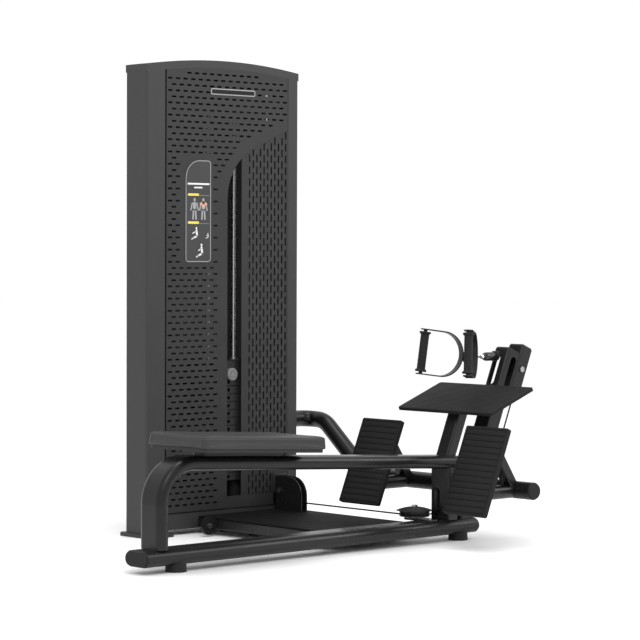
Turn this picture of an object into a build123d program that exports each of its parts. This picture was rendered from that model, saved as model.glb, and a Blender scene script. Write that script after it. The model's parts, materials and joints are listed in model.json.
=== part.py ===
"""Seated cable row (long pull) station with an enclosed weight tower.

Millimetres. +X runs along the machine from the seat to the foot end, +Y from the seat rail
to the weight tower, +Z up. The origin is on the floor, in the centre plane of the seat rail,
below the spine's rear foot.
"""
from math import cos, hypot, pi, radians, sin, tan
import os

from build123d import *

os.makedirs("parts", exist_ok=True)

# ---- driving dimensions -------------------------------------------------------------
WALL = 3.0                      # tube wall
BIG = 900.0                     # reach of a cutting block, past everything it cuts
CAP_T = 6.0                     # plastic tube caps
RUN_GAP = 0.05                  # running clearance of a shaft in its hub, on the radius
CLEAR = 0.3                     # gap between curved faces of different bodies

# spine: the flat-oval tube on the floor
SPINE_W, SPINE_H = 100.0, 46.0
SPINE_Z = 20.0                  # underside
SPINE_START, SPINE_END = -116.0, 1209.0
SPINE_TOP = SPINE_Z + SPINE_H
SPINE_MID = SPINE_Z + SPINE_H / 2
FOOT_R, FOOT_H = 31.0, 36.0
FOOT_Y = -20.0

# seat rail: a leg that rises from the spine and bends over into the sloping rail
RAIL_W, RAIL_H = 96.0, 40.0
RAIL_SLOPE = 3.06               # degrees, down towards the feet
RAIL_LEG_X = -55.0
RAIL_Z0 = 304.0                 # height of the rail's centre line at X = 0
RAIL_END = 1138.0
RAIL_BEND_R = 112.0
LEG_X, LEG_T, LEG_W = 1105.0, 40.0, 80.0
SLOT_W, SLOT_TOP = 26.0, 168.0  # the cable's slot through the rail leg

# seat
SEAT_X0, SEAT_X1, SEAT_W = 15.0, 487.0, 254.0
SEAT_PAD_T, SEAT_BOARD_T, SEAT_GAP = 36.0, 10.0, 15.0

# everything that leans at the foot end leans by the same angle from the vertical
LEAN = 22.5

# foot plates: centre of the far one's front face, mirrored in Y
FOOT_PLATE = (1002.6, 226.5, 238.5)
FOOT_PLATE_W, FOOT_PLATE_L, FOOT_PLATE_T = 174.0, 280.0, 14.0
FOOT_TUBE_R, FOOT_TUBE_Z = 21.0, 166.0

# crossbar behind the foot plates, which climbs to the tower
CROSS_X, CROSS_Z, CROSS_R = 1178.0, 170.0, 27.0
CROSS_END_Y = -306.0
LINK_Y, LINK_Z = 700.0, 341.0

# tray, its post, and the mast
POST_W, POST_T = 50.0, 40.0
TRAY_X0, TRAY_Z0 = 1097.0, 405.0
TRAY_W, TRAY_L, TRAY_T, TRAY_TILT = 400.0, 208.0, 10.0, 20.5
MAST_W, MAST_T = 60.0, 57.0
MAST_FOOT_X = 1178.0            # mast centre line at the top of the spine
MAST_L = 556.0
HEAD_T, HEAD_START, HEAD_L = 50.0, 430.0, 158.0    # capped tube behind the mast's top

# weight tower
TOWER_X0, TOWER_X1 = 435.0, 1072.0
TOWER_Y0, TOWER_Y1 = 640.0, 745.0
COL_LEFT_W, COL_RIGHT_W = 78.0, 48.0
SHEET = 2.0
TOWER_FOOT_T = 12.0
PANEL_Z0 = 72.0
CAP_SIDE_Z, CAP_RISE, CAP_BAND = 1476.0, 24.0, 24.0
WINDOW_X, WINDOW_GAP, WINDOW_Z0 = 766.0, 63.0, 110.0
WINDOW_R = 175.0
WINDOW_TOP_Z, WINDOW_SLOPE = 1291.0, 24.6

# weight stack
STACK_X, STACK_Y = 788.0, 700.0
PLATE_W, PLATE_D, PLATE_T, PLATE_GAP = 260.0, 84.0, 25.0, 0.4
PLATES = 14                     # the top one is pinned to the stem and lifts with the head
STACK_Z = 158.0
ROD_R, ROD_SPREAD = 9.5, 56.0
CROSSHEAD_Z, CROSSHEAD_T = 1338.0, 10.0
HEAD_PLATE_T = 34.0
STEM_R = 12.0
PIN_R = 5.0

# cable and pulleys
CABLE_R = 2.5
PULLEY_R, LOW_PULLEY_R = 42.0, 34.0   # pitch radii
PULLEY_W, FLANGE = 16.0, 5.0     # pulley width, and rim beyond the pitch radius
CHEEK_GAP, CHEEK_T = 1.0, 4.0
AXLE_R = 6.0
PULL_Y = 14.0                   # plane of the mast's pulleys
FLOOR_RUN_Z, FLOOR_RUN_X = 84.0, 988.0
PULL_Z = 565.0
TOP_PULLEY_Z = 1398.0
DROP_Y = 653.0                  # where the cable comes down behind the front panel
AXLE_BACK = 52.0                # the mast's pulley axles lie this far behind its centre line
SPINE_PULLEY_X = FLOOR_RUN_X + PULLEY_R

# cable end and handles
SWIVEL_X0, SWIVEL_X1, SWIVEL_R = 1290.0, 1341.0, 14.0
BALL_R = 8.0
YOKE_X, YOKE_W, YOKE_H = 1231.0, 15.0, 26.0
PIVOT_SPREAD, PIVOT_R = 20.0, 4.0
HANDLES = (("far", 1, 20.0), ("near", -1, 36.0))    # side, and splay from the pull's line
HANDLE_REACH, HANDLE_R = 148.0, 70.0    # pivot to grip, and the strap's mid-line radius
HANDLE_TILT = 7.5               # the straps rise towards the grips
STRAP_BACK = 14.0               # pivot to the back of the strap
STRAP_W, STRAP_T = 26.0, 4.0
GRIP_R, GRIP_L = 13.5, 114.0
GRIP_FLANGE_R, GRIP_FLANGE_T = 18.0, 6.0

# ---- reference planes and points ------------------------------------------------------
slope = radians(RAIL_SLOPE)
lean = radians(LEAN)
LEAN_X, LEAN_Z = sin(lean), cos(lean)


def rail_z(x):
    """Height of the rail's centre line at x."""
    return RAIL_Z0 - x * tan(slope)


def leaning_plane(x, z, y=0.0):
    """Plane across the lean: local X is +Y, local Y points back and down, normal goes up."""
    return Plane(origin=(x, y, z), x_dir=(0, 1, 0), z_dir=(LEAN_X, 0, LEAN_Z))


spine_plane = Plane(origin=(SPINE_START, 0, SPINE_MID), x_dir=(0, 1, 0), z_dir=(1, 0, 0))
leg_plane = Plane(origin=(RAIL_LEG_X, 0, SPINE_TOP), x_dir=(0, 1, 0), z_dir=(0, 0, 1))
rail_end_plane = Plane(origin=(RAIL_END, 0, rail_z(RAIL_END)), x_dir=(0, 1, 0),
                       z_dir=(cos(slope), 0, -sin(slope)))
rail_corner = (RAIL_LEG_X, 0, rail_z(RAIL_LEG_X))
rail_end = (RAIL_END, 0, rail_z(RAIL_END))
tower_mid = (TOWER_X0 + TOWER_X1) / 2
panel_x0, panel_x1 = TOWER_X0 + COL_LEFT_W, TOWER_X1 - COL_RIGHT_W
mast_plane = leaning_plane(MAST_FOOT_X, SPINE_TOP)


def up_mast(distance, back=0.0):
    """Point (x, z) on the mast's centre line, and that far behind it."""
    return (MAST_FOOT_X + distance * LEAN_X + back * LEAN_Z,
            SPINE_TOP + distance * LEAN_Z - back * LEAN_X)


# full outlines of the two oval tubes, to fit other pieces against
with BuildPart() as spine_outline:
    with BuildSketch(spine_plane):
        SlotOverall(SPINE_W, SPINE_H)
    extrude(amount=SPINE_END - SPINE_START)

with BuildPart() as rail_outline:
    with BuildLine():
        FilletPolyline((RAIL_LEG_X, 0, SPINE_TOP), rail_corner, rail_end, radius=RAIL_BEND_R)
    with BuildSketch(leg_plane):
        SlotOverall(RAIL_W, RAIL_H)
    sweep()

with BuildPart() as mast_outline:
    with BuildSketch(mast_plane):
        RectangleRounded(MAST_W, MAST_T, 8)
    extrude(amount=MAST_L)

# ---- spine ----------------------------------------------------------------------------
with BuildPart() as spine:
    with BuildSketch(spine_plane):
        SlotOverall(SPINE_W, SPINE_H)
        SlotOverall(SPINE_W - 2 * WALL, SPINE_H - 2 * WALL, mode=Mode.SUBTRACT)
    extrude(amount=SPINE_END - SPINE_START)
spine.part.label = "spine"
export_step(spine.part, "parts/spine.step")

# saddle feet that wrap the underside of the spine
with BuildPart() as spine_feet:
    for x in (6.0, 1146.0):
        with BuildSketch(Plane(origin=(x, FOOT_Y, 0))):
            Circle(FOOT_R)
        extrude(amount=FOOT_H, taper=4)
    add(spine_outline.part, mode=Mode.SUBTRACT)
spine_feet.part.label = "spine_feet"
export_step(spine_feet.part, "parts/spine_feet.step")

# ---- seat rail and its front leg --------------------------------------------------------
with BuildPart() as seat_rail:
    with BuildLine():
        FilletPolyline((RAIL_LEG_X, 0, SPINE_TOP), rail_corner, rail_end, radius=RAIL_BEND_R)
    with BuildSketch(leg_plane):
        SlotOverall(RAIL_W, RAIL_H)
        SlotOverall(RAIL_W - 2 * WALL, RAIL_H - 2 * WALL, mode=Mode.SUBTRACT)
    sweep()
seat_rail.part.label = "seat_rail"
export_step(seat_rail.part, "parts/seat_rail.step")

slot_h = SLOT_TOP - SPINE_TOP
with BuildPart() as rail_leg:
    with BuildSketch(Plane(origin=(LEG_X, 0, SPINE_TOP))):
        RectangleRounded(LEG_T, LEG_W, 6)
        RectangleRounded(LEG_T - 2 * WALL, LEG_W - 2 * WALL, 3, mode=Mode.SUBTRACT)
    extrude(amount=rail_z(LEG_X) - SPINE_TOP)
    add(rail_outline.part, mode=Mode.SUBTRACT)
    with BuildSketch(Plane(origin=(LEG_X - LEG_T, PULL_Y, SPINE_TOP + slot_h / 2 + 4),
                           x_dir=(0, 1, 0), z_dir=(1, 0, 0))):
        SlotOverall(slot_h - 16, SLOT_W, rotation=90)
    extrude(amount=2 * LEG_T, mode=Mode.SUBTRACT)
rail_leg.part.label = "rail_leg"
export_step(rail_leg.part, "parts/rail_leg.step")

# ---- seat -------------------------------------------------------------------------------
seat_mid_x = (SEAT_X0 + SEAT_X1) / 2
seat_l = (SEAT_X1 - SEAT_X0) / cos(slope)


def seat_plane(height):
    """Plane along the rail, that far above the rail's top face, below the seat's middle."""
    lift = RAIL_H / 2 + height
    return Plane(origin=(seat_mid_x + lift * sin(slope), 0, rail_z(seat_mid_x) + lift * cos(slope)),
                 x_dir=(cos(slope), 0, -sin(slope)), z_dir=(sin(slope), 0, cos(slope)))


SEAT_MOUNT = (300.0, 52.0)
with BuildPart() as seat_mount:
    with BuildSketch(seat_plane(0)):
        RectangleRounded(*SEAT_MOUNT, 10)
    extrude(amount=SEAT_GAP)
seat_mount.part.label = "seat_mount"
export_step(seat_mount.part, "parts/seat_mount.step")

with BuildPart() as seat_board:
    with BuildSketch(seat_plane(SEAT_GAP)):
        RectangleRounded(seat_l - 14, SEAT_W - 14, 14)
    extrude(amount=SEAT_BOARD_T)
seat_board.part.label = "seat_board"
export_step(seat_board.part, "parts/seat_board.step")

with BuildPart() as seat_pad:
    with BuildSketch(seat_plane(SEAT_GAP + SEAT_BOARD_T)):
        RectangleRounded(seat_l, SEAT_W, 18)
    extrude(amount=SEAT_PAD_T)
    fillet(seat_pad.faces().sort_by(Axis.Z)[-1].edges(), 8)
seat_pad.part.label = "seat_pad"
export_step(seat_pad.part, "parts/seat_pad.step")

# ---- deck between the spine and the tower ------------------------------------------------
DECK_X0, DECK_X1, DECK_Z1 = 650.0, 1022.0, 56.0
DECK_TUBE_W = 50.0
with BuildPart() as deck_tubes:
    for x in (DECK_X0 + DECK_TUBE_W / 2, DECK_X1 - DECK_TUBE_W / 2):
        with BuildSketch(Plane(origin=(x, TOWER_Y0 + 5, (SPINE_Z + DECK_Z1 - 4) / 2),
                               x_dir=(1, 0, 0), z_dir=(0, -1, 0))):
            RectangleRounded(DECK_TUBE_W, DECK_Z1 - 4 - SPINE_Z, 5)
            RectangleRounded(DECK_TUBE_W - 2 * WALL, DECK_Z1 - 4 - SPINE_Z - 2 * WALL, 2,
                             mode=Mode.SUBTRACT)
        extrude(amount=TOWER_Y0 + 5 - 20)
    add(spine_outline.part, mode=Mode.SUBTRACT)
deck_tubes.part.label = "deck_tubes"
export_step(deck_tubes.part, "parts/deck_tubes.step")

with BuildPart() as deck_plate:
    with BuildSketch(Plane(origin=(0, 0, DECK_Z1 - 4))):
        with Locations(((DECK_X0 + DECK_X1) / 2, (TOWER_Y0 + 30) / 2)):
            Rectangle(DECK_X1 - DECK_X0, TOWER_Y0 - 30)
    extrude(amount=4)
    add(spine_outline.part, mode=Mode.SUBTRACT)
deck_plate.part.label = "deck_plate"
export_step(deck_plate.part, "parts/deck_plate.step")

# ---- crossbar and link to the tower --------------------------------------------------------
FLANGE_T = 5.0
link_points = ((TOWER_X1 + FLANGE_T, LINK_Y, LINK_Z), (CROSS_X, LINK_Y, LINK_Z),
               (CROSS_X, 622, LINK_Z - 5), (CROSS_X, 424, CROSS_Z), (CROSS_X, CROSS_END_Y, CROSS_Z))
link_radii = (50, 85, 110)
with BuildPart() as crossbar:
    with BuildLine():
        FilletPolyline(*link_points, radius=link_radii)
    with BuildSketch(Plane(origin=link_points[0], z_dir=(1, 0, 0))):
        Circle(CROSS_R)
        Circle(CROSS_R - WALL, mode=Mode.SUBTRACT)
    sweep()
crossbar.part.label = "crossbar"
export_step(crossbar.part, "parts/crossbar.step")

# ---- foot plates, their tubes and struts ---------------------------------------------------
CROSS_CUT_L = 650.0             # the crossbar's straight stretch, to trim other tubes against
FOOT_PLATE_CORNER = 6.0
with BuildPart() as crossbar_outline:
    with BuildSketch(Plane(origin=(CROSS_X, CROSS_END_Y, CROSS_Z), z_dir=(0, 1, 0))):
        Circle(CROSS_R)
    extrude(amount=CROSS_CUT_L)


def foot_face(way):
    """Front face of the foot plate on that side, its normal pointing at the sitter."""
    return Plane(origin=(FOOT_PLATE[0], way * FOOT_PLATE[1], FOOT_PLATE[2]), x_dir=(0, 1, 0),
                 z_dir=(-LEAN_Z, 0, LEAN_X))


def cut_in_front_of_plates():
    """Take away everything from the plates' back faces forward."""
    with BuildSketch(foot_face(0).offset(-FOOT_PLATE_T)) as ahead:
        Rectangle(BIG, BIG)
    extrude(ahead.sketch, amount=BIG, mode=Mode.SUBTRACT)


for side, way in (("far", 1), ("near", -1)):
    with BuildPart() as foot_plate:
        with BuildSketch(foot_face(way)):
            RectangleRounded(FOOT_PLATE_W, FOOT_PLATE_L, FOOT_PLATE_CORNER)
        extrude(amount=-FOOT_PLATE_T)
        chamfer(foot_plate.faces().sort_by(Axis((0, 0, 0), (-LEAN_Z, 0, LEAN_X)))[-1].edges(), 2)
    foot_plate.part.label = f"foot_plate_{side}"
    export_step(foot_plate.part, f"parts/foot_plate_{side}.step")

with BuildPart() as foot_tubes:
    for way in (1, -1):
        with BuildSketch(Plane(origin=(CROSS_X, way * FOOT_PLATE[1], FOOT_TUBE_Z),
                               z_dir=(-1, 0, 0))):
            Circle(FOOT_TUBE_R)
        extrude(amount=CROSS_X - FOOT_PLATE[0] + 2 * FOOT_TUBE_R)
    cut_in_front_of_plates()
    add(crossbar_outline.part, mode=Mode.SUBTRACT)
foot_tubes.part.label = "foot_tubes"
export_step(foot_tubes.part, "parts/foot_tubes.step")

# struts from high on the plates' backs down to the crossbar
STRUT_W, STRUT_T = 40.0, 30.0
strut_top = (FOOT_PLATE[0] + 50, FOOT_PLATE[2] + 102)
strut_foot = (CROSS_X - 14, CROSS_Z + 8)
strut_l = hypot(strut_foot[0] - strut_top[0], strut_foot[1] - strut_top[1])
strut_way = ((strut_foot[0] - strut_top[0]) / strut_l, 0, (strut_foot[1] - strut_top[1]) / strut_l)
with BuildPart() as foot_struts:
    for way in (1, -1):
        with BuildSketch(Plane(origin=(strut_top[0], way * FOOT_PLATE[1], strut_top[1]),
                               x_dir=(0, 1, 0), z_dir=strut_way)):
            RectangleRounded(STRUT_W, STRUT_T, 4)
        extrude(amount=strut_l)
    cut_in_front_of_plates()
    add(crossbar_outline.part, mode=Mode.SUBTRACT)
    add(foot_tubes.part, mode=Mode.SUBTRACT)
foot_struts.part.label = "foot_struts"
export_step(foot_struts.part, "parts/foot_struts.step")

# ---- tray and its post ----------------------------------------------------------------------
tilt = radians(TRAY_TILT)
tray_top = Plane(origin=(TRAY_X0 + TRAY_L / 2 * cos(tilt), 0, TRAY_Z0 + TRAY_L / 2 * sin(tilt)),
                 x_dir=(cos(tilt), 0, sin(tilt)), z_dir=(-sin(tilt), 0, cos(tilt)))
TRAY_BRACKET_T = 5.0
with BuildPart() as tray:
    with BuildSketch(tray_top):
        RectangleRounded(TRAY_L, TRAY_W, 8)
    extrude(amount=-TRAY_T)
    chamfer(tray.faces().sort_by(Axis((0, 0, 0), (-sin(tilt), 0, cos(tilt))))[-1].edges(), 1.5)
tray.part.label = "tray"
export_step(tray.part, "parts/tray.step")

POST_FOOT_X, POST_L = 1103.0, 260.0      # the post is cut to length under the tray
with BuildPart() as tray_post:
    with BuildSketch(leaning_plane(POST_FOOT_X, rail_z(POST_FOOT_X))):
        RectangleRounded(POST_W, POST_T, 6)
        RectangleRounded(POST_W - 2 * WALL, POST_T - 2 * WALL, 3, mode=Mode.SUBTRACT)
    extrude(amount=POST_L)
    with BuildSketch(tray_top.offset(-TRAY_T - TRAY_BRACKET_T)):
        Rectangle(BIG, BIG)
    extrude(amount=BIG, mode=Mode.SUBTRACT)
    add(rail_outline.part, mode=Mode.SUBTRACT)
tray_post.part.label = "tray_post"
export_step(tray_post.part, "parts/tray_post.step")

# ---- mast, with the capped head tube behind its top ------------------------------------------
back_dir = (LEAN_Z, 0, -LEAN_X)
floor_pulley_up = (FLOOR_RUN_Z + PULLEY_R - SPINE_TOP + AXLE_BACK * LEAN_X) / LEAN_Z
top_pulley_up = (PULL_Z - PULLEY_R - SPINE_TOP + AXLE_BACK * LEAN_X) / LEAN_Z
floor_pulley = (up_mast(floor_pulley_up, AXLE_BACK)[0], PULL_Y, FLOOR_RUN_Z + PULLEY_R)
top_pulley = (up_mast(top_pulley_up, AXLE_BACK)[0], PULL_Y, PULL_Z - PULLEY_R)
PULLEY_ROOM = 3.0               # clearance round a pulley in a slot
PULL_SLOT_W, PULL_SLOT_H = 24.0, 26.0
FRONT_SLOT, SIDE_SLOT = (100.0, 26.0), (104.0, 25.0)
front_slot_top = MAST_L - 22


def cut_pulley_slots():
    """Open a tube for the mast's two pulleys and for the cable's way in and out."""
    for centre in (floor_pulley, top_pulley):
        with BuildSketch(Plane(origin=centre, z_dir=(0, 1, 0))) as room:
            Circle(PULLEY_R + FLANGE + PULLEY_ROOM)
        extrude(room.sketch, amount=PULLEY_W / 2 + PULLEY_ROOM, both=True, mode=Mode.SUBTRACT)
    for x, z in ((top_pulley[0], PULL_Z), (floor_pulley[0], FLOOR_RUN_Z)):
        with BuildSketch(Plane(origin=(x, PULL_Y, z), z_dir=(-1, 0, 0))) as run:
            Rectangle(PULL_SLOT_W, PULL_SLOT_H)
        extrude(run.sketch, amount=2 * MAST_W, mode=Mode.SUBTRACT)


foot_x, foot_z = up_mast(-50)
with BuildPart() as mast:
    with BuildSketch(leaning_plane(foot_x, foot_z)):
        RectangleRounded(MAST_W, MAST_T, 8)
        RectangleRounded(MAST_W - 2 * WALL, MAST_T - 2 * WALL, 5, mode=Mode.SUBTRACT)
    extrude(amount=MAST_L + 50)
    with BuildSketch(Plane(origin=(MAST_FOOT_X, 0, SPINE_TOP))):
        Rectangle(BIG, BIG)
    extrude(amount=-BIG, mode=Mode.SUBTRACT)
    add(crossbar_outline.part, mode=Mode.SUBTRACT)
    cut_pulley_slots()
    # the long slot in the front wall, and an opening in each side wall behind it
    slot_mid = up_mast(front_slot_top - FRONT_SLOT[0] / 2, -MAST_T / 2)
    with BuildSketch(Plane(origin=(slot_mid[0], PULL_Y - 6, slot_mid[1]), x_dir=(0, 1, 0),
                           z_dir=(-LEAN_Z, 0, LEAN_X))):
        SlotOverall(*FRONT_SLOT, rotation=90)
    extrude(amount=WALL + 5, both=True, mode=Mode.SUBTRACT)
    side_mid = up_mast(front_slot_top - 46, 7)
    with BuildSketch(Plane(origin=(side_mid[0], 0, side_mid[1]), x_dir=(LEAN_X, 0, LEAN_Z),
                           z_dir=(0, 1, 0))):
        SlotOverall(*SIDE_SLOT)
    extrude(amount=MAST_W, both=True, mode=Mode.SUBTRACT)
mast.part.label = "mast"
export_step(mast.part, "parts/mast.step")

head_back = (MAST_T + HEAD_T) / 2
head_x, head_z = up_mast(HEAD_START, head_back)
with BuildPart() as head_tube:
    with BuildSketch(leaning_plane(head_x, head_z)):
        RectangleRounded(MAST_W, HEAD_T, 6)
        RectangleRounded(MAST_W - 2 * WALL, HEAD_T - 2 * WALL, 3, mode=Mode.SUBTRACT)
    extrude(amount=HEAD_L)
    cut_pulley_slots()
    with BuildSketch(Plane(origin=top_pulley, z_dir=(0, 1, 0))):
        Circle(AXLE_R)
    extrude(amount=MAST_W, both=True, mode=Mode.SUBTRACT)
head_tube.part.label = "head_tube"
export_step(head_tube.part, "parts/head_tube.step")

# ---- plastic caps of all the tubes -------------------------------------------------------------
cap_planes = (
    (Plane(origin=(SPINE_START, 0, SPINE_MID), x_dir=(0, 1, 0), z_dir=(-1, 0, 0)), SPINE_W, SPINE_H, 0),
    (Plane(origin=(SPINE_END, 0, SPINE_MID), x_dir=(0, 1, 0), z_dir=(1, 0, 0)), SPINE_W, SPINE_H, 0),
    (rail_end_plane, RAIL_W, RAIL_H, 0),
    (Plane(origin=(CROSS_X, CROSS_END_Y, CROSS_Z), z_dir=(0, -1, 0)), 2 * CROSS_R, 2 * CROSS_R, 0),
    (leaning_plane(*up_mast(MAST_L)), MAST_W, MAST_T, 8),
    (leaning_plane(*up_mast(HEAD_START + HEAD_L, head_back)), MAST_W, HEAD_T, 6),
)
PLUG_DEPTH = 14.0
with BuildPart() as tube_caps:
    for cap_plane, cap_w, cap_h, corner in cap_planes:
        for inset, reach, taper in ((0, CAP_T, 30), (WALL, -PLUG_DEPTH, 0)):
            with BuildSketch(cap_plane):
                if corner:
                    RectangleRounded(cap_w - 2 * inset, cap_h - 2 * inset, corner - inset)
                elif cap_w > cap_h:
                    SlotOverall(cap_w - 2 * inset, cap_h - 2 * inset)
                else:
                    Circle(cap_w / 2 - inset)
            extrude(amount=reach, taper=taper)
    cut_pulley_slots()
tube_caps.part.label = "tube_caps"
export_step(tube_caps.part, "parts/tube_caps.step")

# ---- weight tower: columns, base, feet and cap ---------------------------------------------------
tower_mid_y = (TOWER_Y0 + TOWER_Y1) / 2
tower_d = TOWER_Y1 - TOWER_Y0
front_plane = Plane(origin=(0, TOWER_Y0, 0), x_dir=(1, 0, 0), z_dir=(0, -1, 0))
cap_under = CAP_SIDE_Z - CAP_BAND

# the arch is one circle through the cap's two lower corners and its crown
arch_r = ((TOWER_X1 - tower_mid) ** 2 + CAP_RISE ** 2) / (2 * CAP_RISE)
ARCH_PAST = 40.0                # the cutting arch runs past the tower's sides by this


def arch_drop(x):
    """How far the arch is below its crown at x."""
    return arch_r - (arch_r ** 2 - (x - tower_mid) ** 2) ** 0.5


# everything above the cap's underside, to trim the columns and covers against
crown = cap_under + CAP_RISE
arch_x0, arch_x1 = TOWER_X0 - ARCH_PAST, TOWER_X1 + ARCH_PAST
with BuildPart() as above_cap:
    with BuildSketch(front_plane):
        with BuildLine():
            arch = ThreePointArc((arch_x0, crown - arch_drop(arch_x0)), (tower_mid, crown),
                                 (arch_x1, crown - arch_drop(arch_x1)))
            Polyline(arch @ 1, (arch_x1, crown + BIG), (arch_x0, crown + BIG), arch @ 0)
        make_face()
    extrude(amount=BIG, both=True)

# the tower's plan, with the bow of its rear cover
REAR_BOW = 40.0
COLUMN_CORNER = 8.0
with BuildPart() as tower_plan:
    with BuildSketch():
        with BuildLine():
            Polyline((panel_x0, TOWER_Y1), (TOWER_X0, TOWER_Y1), (TOWER_X0, TOWER_Y0),
                     (TOWER_X1, TOWER_Y0), (TOWER_X1, TOWER_Y1), (panel_x1, TOWER_Y1))
            ThreePointArc((panel_x1, TOWER_Y1), (tower_mid, TOWER_Y1 + REAR_BOW), (panel_x0, TOWER_Y1))
        make_face()
    extrude(amount=CAP_SIDE_Z + BIG)

with BuildPart() as tower_cap:
    with BuildSketch(front_plane):
        with BuildLine():
            under = ThreePointArc((TOWER_X0, cap_under), (tower_mid, cap_under + CAP_RISE),
                                  (TOWER_X1, cap_under))
            over = ThreePointArc((TOWER_X0, CAP_SIDE_Z), (tower_mid, CAP_SIDE_Z + CAP_RISE),
                                 (TOWER_X1, CAP_SIDE_Z))
            Line(under @ 0, over @ 0)
            Line(under @ 1, over @ 1)
        make_face()
    extrude(amount=-tower_d - REAR_BOW - 10)
    add(tower_plan.part, mode=Mode.INTERSECT)
tower_cap.part.label = "tower_cap"
export_step(tower_cap.part, "parts/tower_cap.step")

COLUMN_WALL = 2.5
with BuildPart() as tower_columns:
    for x0, width in ((TOWER_X0, COL_LEFT_W), (panel_x1, COL_RIGHT_W)):
        with BuildSketch(Plane(origin=(x0 + width / 2, tower_mid_y, TOWER_FOOT_T))):
            RectangleRounded(width, tower_d, COLUMN_CORNER)
            RectangleRounded(width - 2 * COLUMN_WALL, tower_d - 2 * COLUMN_WALL, 5.5,
                             mode=Mode.SUBTRACT)
        extrude(amount=CAP_SIDE_Z)
    add(above_cap.part, mode=Mode.SUBTRACT)
tower_columns.part.label = "tower_columns"
export_step(tower_columns.part, "parts/tower_columns.step")

BASE_Y0, BASE_Y1, BASE_Z0, BASE_Z1 = 645.0, 740.0, 17.0, 70.0
with BuildPart() as tower_base:
    with BuildSketch(Plane(origin=(panel_x0, (BASE_Y0 + BASE_Y1) / 2, (BASE_Z0 + BASE_Z1) / 2),
                           x_dir=(0, 1, 0), z_dir=(1, 0, 0))):
        RectangleRounded(BASE_Y1 - BASE_Y0, BASE_Z1 - BASE_Z0, 5)
        RectangleRounded(BASE_Y1 - BASE_Y0 - 2 * WALL, BASE_Z1 - BASE_Z0 - 2 * WALL, 2,
                         mode=Mode.SUBTRACT)
    extrude(amount=panel_x1 - panel_x0)
tower_base.part.label = "tower_base"
export_step(tower_base.part, "parts/tower_base.step")

with BuildPart() as tower_feet:
    for x0, x1 in ((TOWER_X0 - 10, TOWER_X0 + COL_LEFT_W + 22),
                   (TOWER_X1 - COL_RIGHT_W - 22, TOWER_X1 + 10)):
        with BuildSketch(Plane(origin=((x0 + x1) / 2, tower_mid_y, 0))):
            RectangleRounded(x1 - x0, tower_d + 44, 14)
        extrude(amount=TOWER_FOOT_T)
        chamfer(tower_feet.faces().sort_by(Axis.Z)[-1].edges(), 2)
tower_feet.part.label = "tower_feet"
export_step(tower_feet.part, "parts/tower_feet.step")

# ---- front panel with its arched window, and the guard behind the window -------------------------
PANEL_FIT = 1.0
LOW_NOTCH = (42.0, 200.0)       # where the low pulley comes through
window_slope = radians(WINDOW_SLOPE)
window_corner_z = WINDOW_TOP_Z - (panel_x1 - WINDOW_X) * tan(window_slope)
with BuildPart() as front_panel:
    with BuildSketch(front_plane):
        with BuildLine():
            Polyline((panel_x0 + PANEL_FIT, PANEL_Z0), (panel_x1, PANEL_Z0),
                     (panel_x1, CAP_SIDE_Z + CAP_RISE), (panel_x0 + PANEL_FIT, CAP_SIDE_Z + CAP_RISE),
                     close=True)
        make_face()
        with BuildLine():
            FilletPolyline((WINDOW_X, WINDOW_Z0), (WINDOW_X, window_corner_z),
                           (panel_x1, WINDOW_TOP_Z), radius=WINDOW_R)
            Polyline((panel_x1, WINDOW_TOP_Z), (panel_x1 + BIG, WINDOW_TOP_Z),
                     (panel_x1 + BIG, WINDOW_Z0), (WINDOW_X, WINDOW_Z0))
        make_face(mode=Mode.SUBTRACT)
        with Locations((FLOOR_RUN_X - LOW_NOTCH[0] / 2, PANEL_Z0)):
            Rectangle(BIG, LOW_NOTCH[1], align=(Align.MIN, Align.CENTER), mode=Mode.SUBTRACT)
    extrude(amount=-SHEET)
    add(above_cap.part, mode=Mode.SUBTRACT)
front_panel.part.label = "front_panel"
export_step(front_panel.part, "parts/front_panel.step")

GUARD_LAP = 12.0
guard_y = TOWER_Y0 + SHEET + 1
guard_x0 = WINDOW_X + WINDOW_GAP
with BuildPart() as window_guard:
    with BuildSketch(Plane(origin=(0, guard_y, 0), x_dir=(1, 0, 0), z_dir=(0, -1, 0))):
        with BuildLine():
            Polyline((guard_x0, PANEL_Z0), (panel_x1, PANEL_Z0), (panel_x1, WINDOW_TOP_Z + GUARD_LAP),
                     (guard_x0, WINDOW_TOP_Z + GUARD_LAP - (panel_x1 - guard_x0) * tan(window_slope)),
                     close=True)
        make_face()
        with Locations((FLOOR_RUN_X, PANEL_Z0)):
            Rectangle(*LOW_NOTCH, mode=Mode.SUBTRACT)
    extrude(amount=-SHEET)
window_guard.part.label = "window_guard"
export_step(window_guard.part, "parts/window_guard.step")

with BuildPart() as rear_cover:
    with BuildSketch(Plane(origin=(0, 0, BASE_Z0))):
        with BuildLine():
            outer = ThreePointArc((panel_x0, TOWER_Y1), (tower_mid, TOWER_Y1 + REAR_BOW),
                                  (panel_x1, TOWER_Y1))
            inner = ThreePointArc((panel_x0, TOWER_Y1 - SHEET),
                                  (tower_mid, TOWER_Y1 + REAR_BOW - SHEET),
                                  (panel_x1, TOWER_Y1 - SHEET))
            Line(outer @ 0, inner @ 0)
            Line(outer @ 1, inner @ 1)
        make_face()
    extrude(amount=CAP_SIDE_Z)
    add(above_cap.part, mode=Mode.SUBTRACT)
rear_cover.part.label = "rear_cover"
export_step(rear_cover.part, "parts/rear_cover.step")

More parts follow.
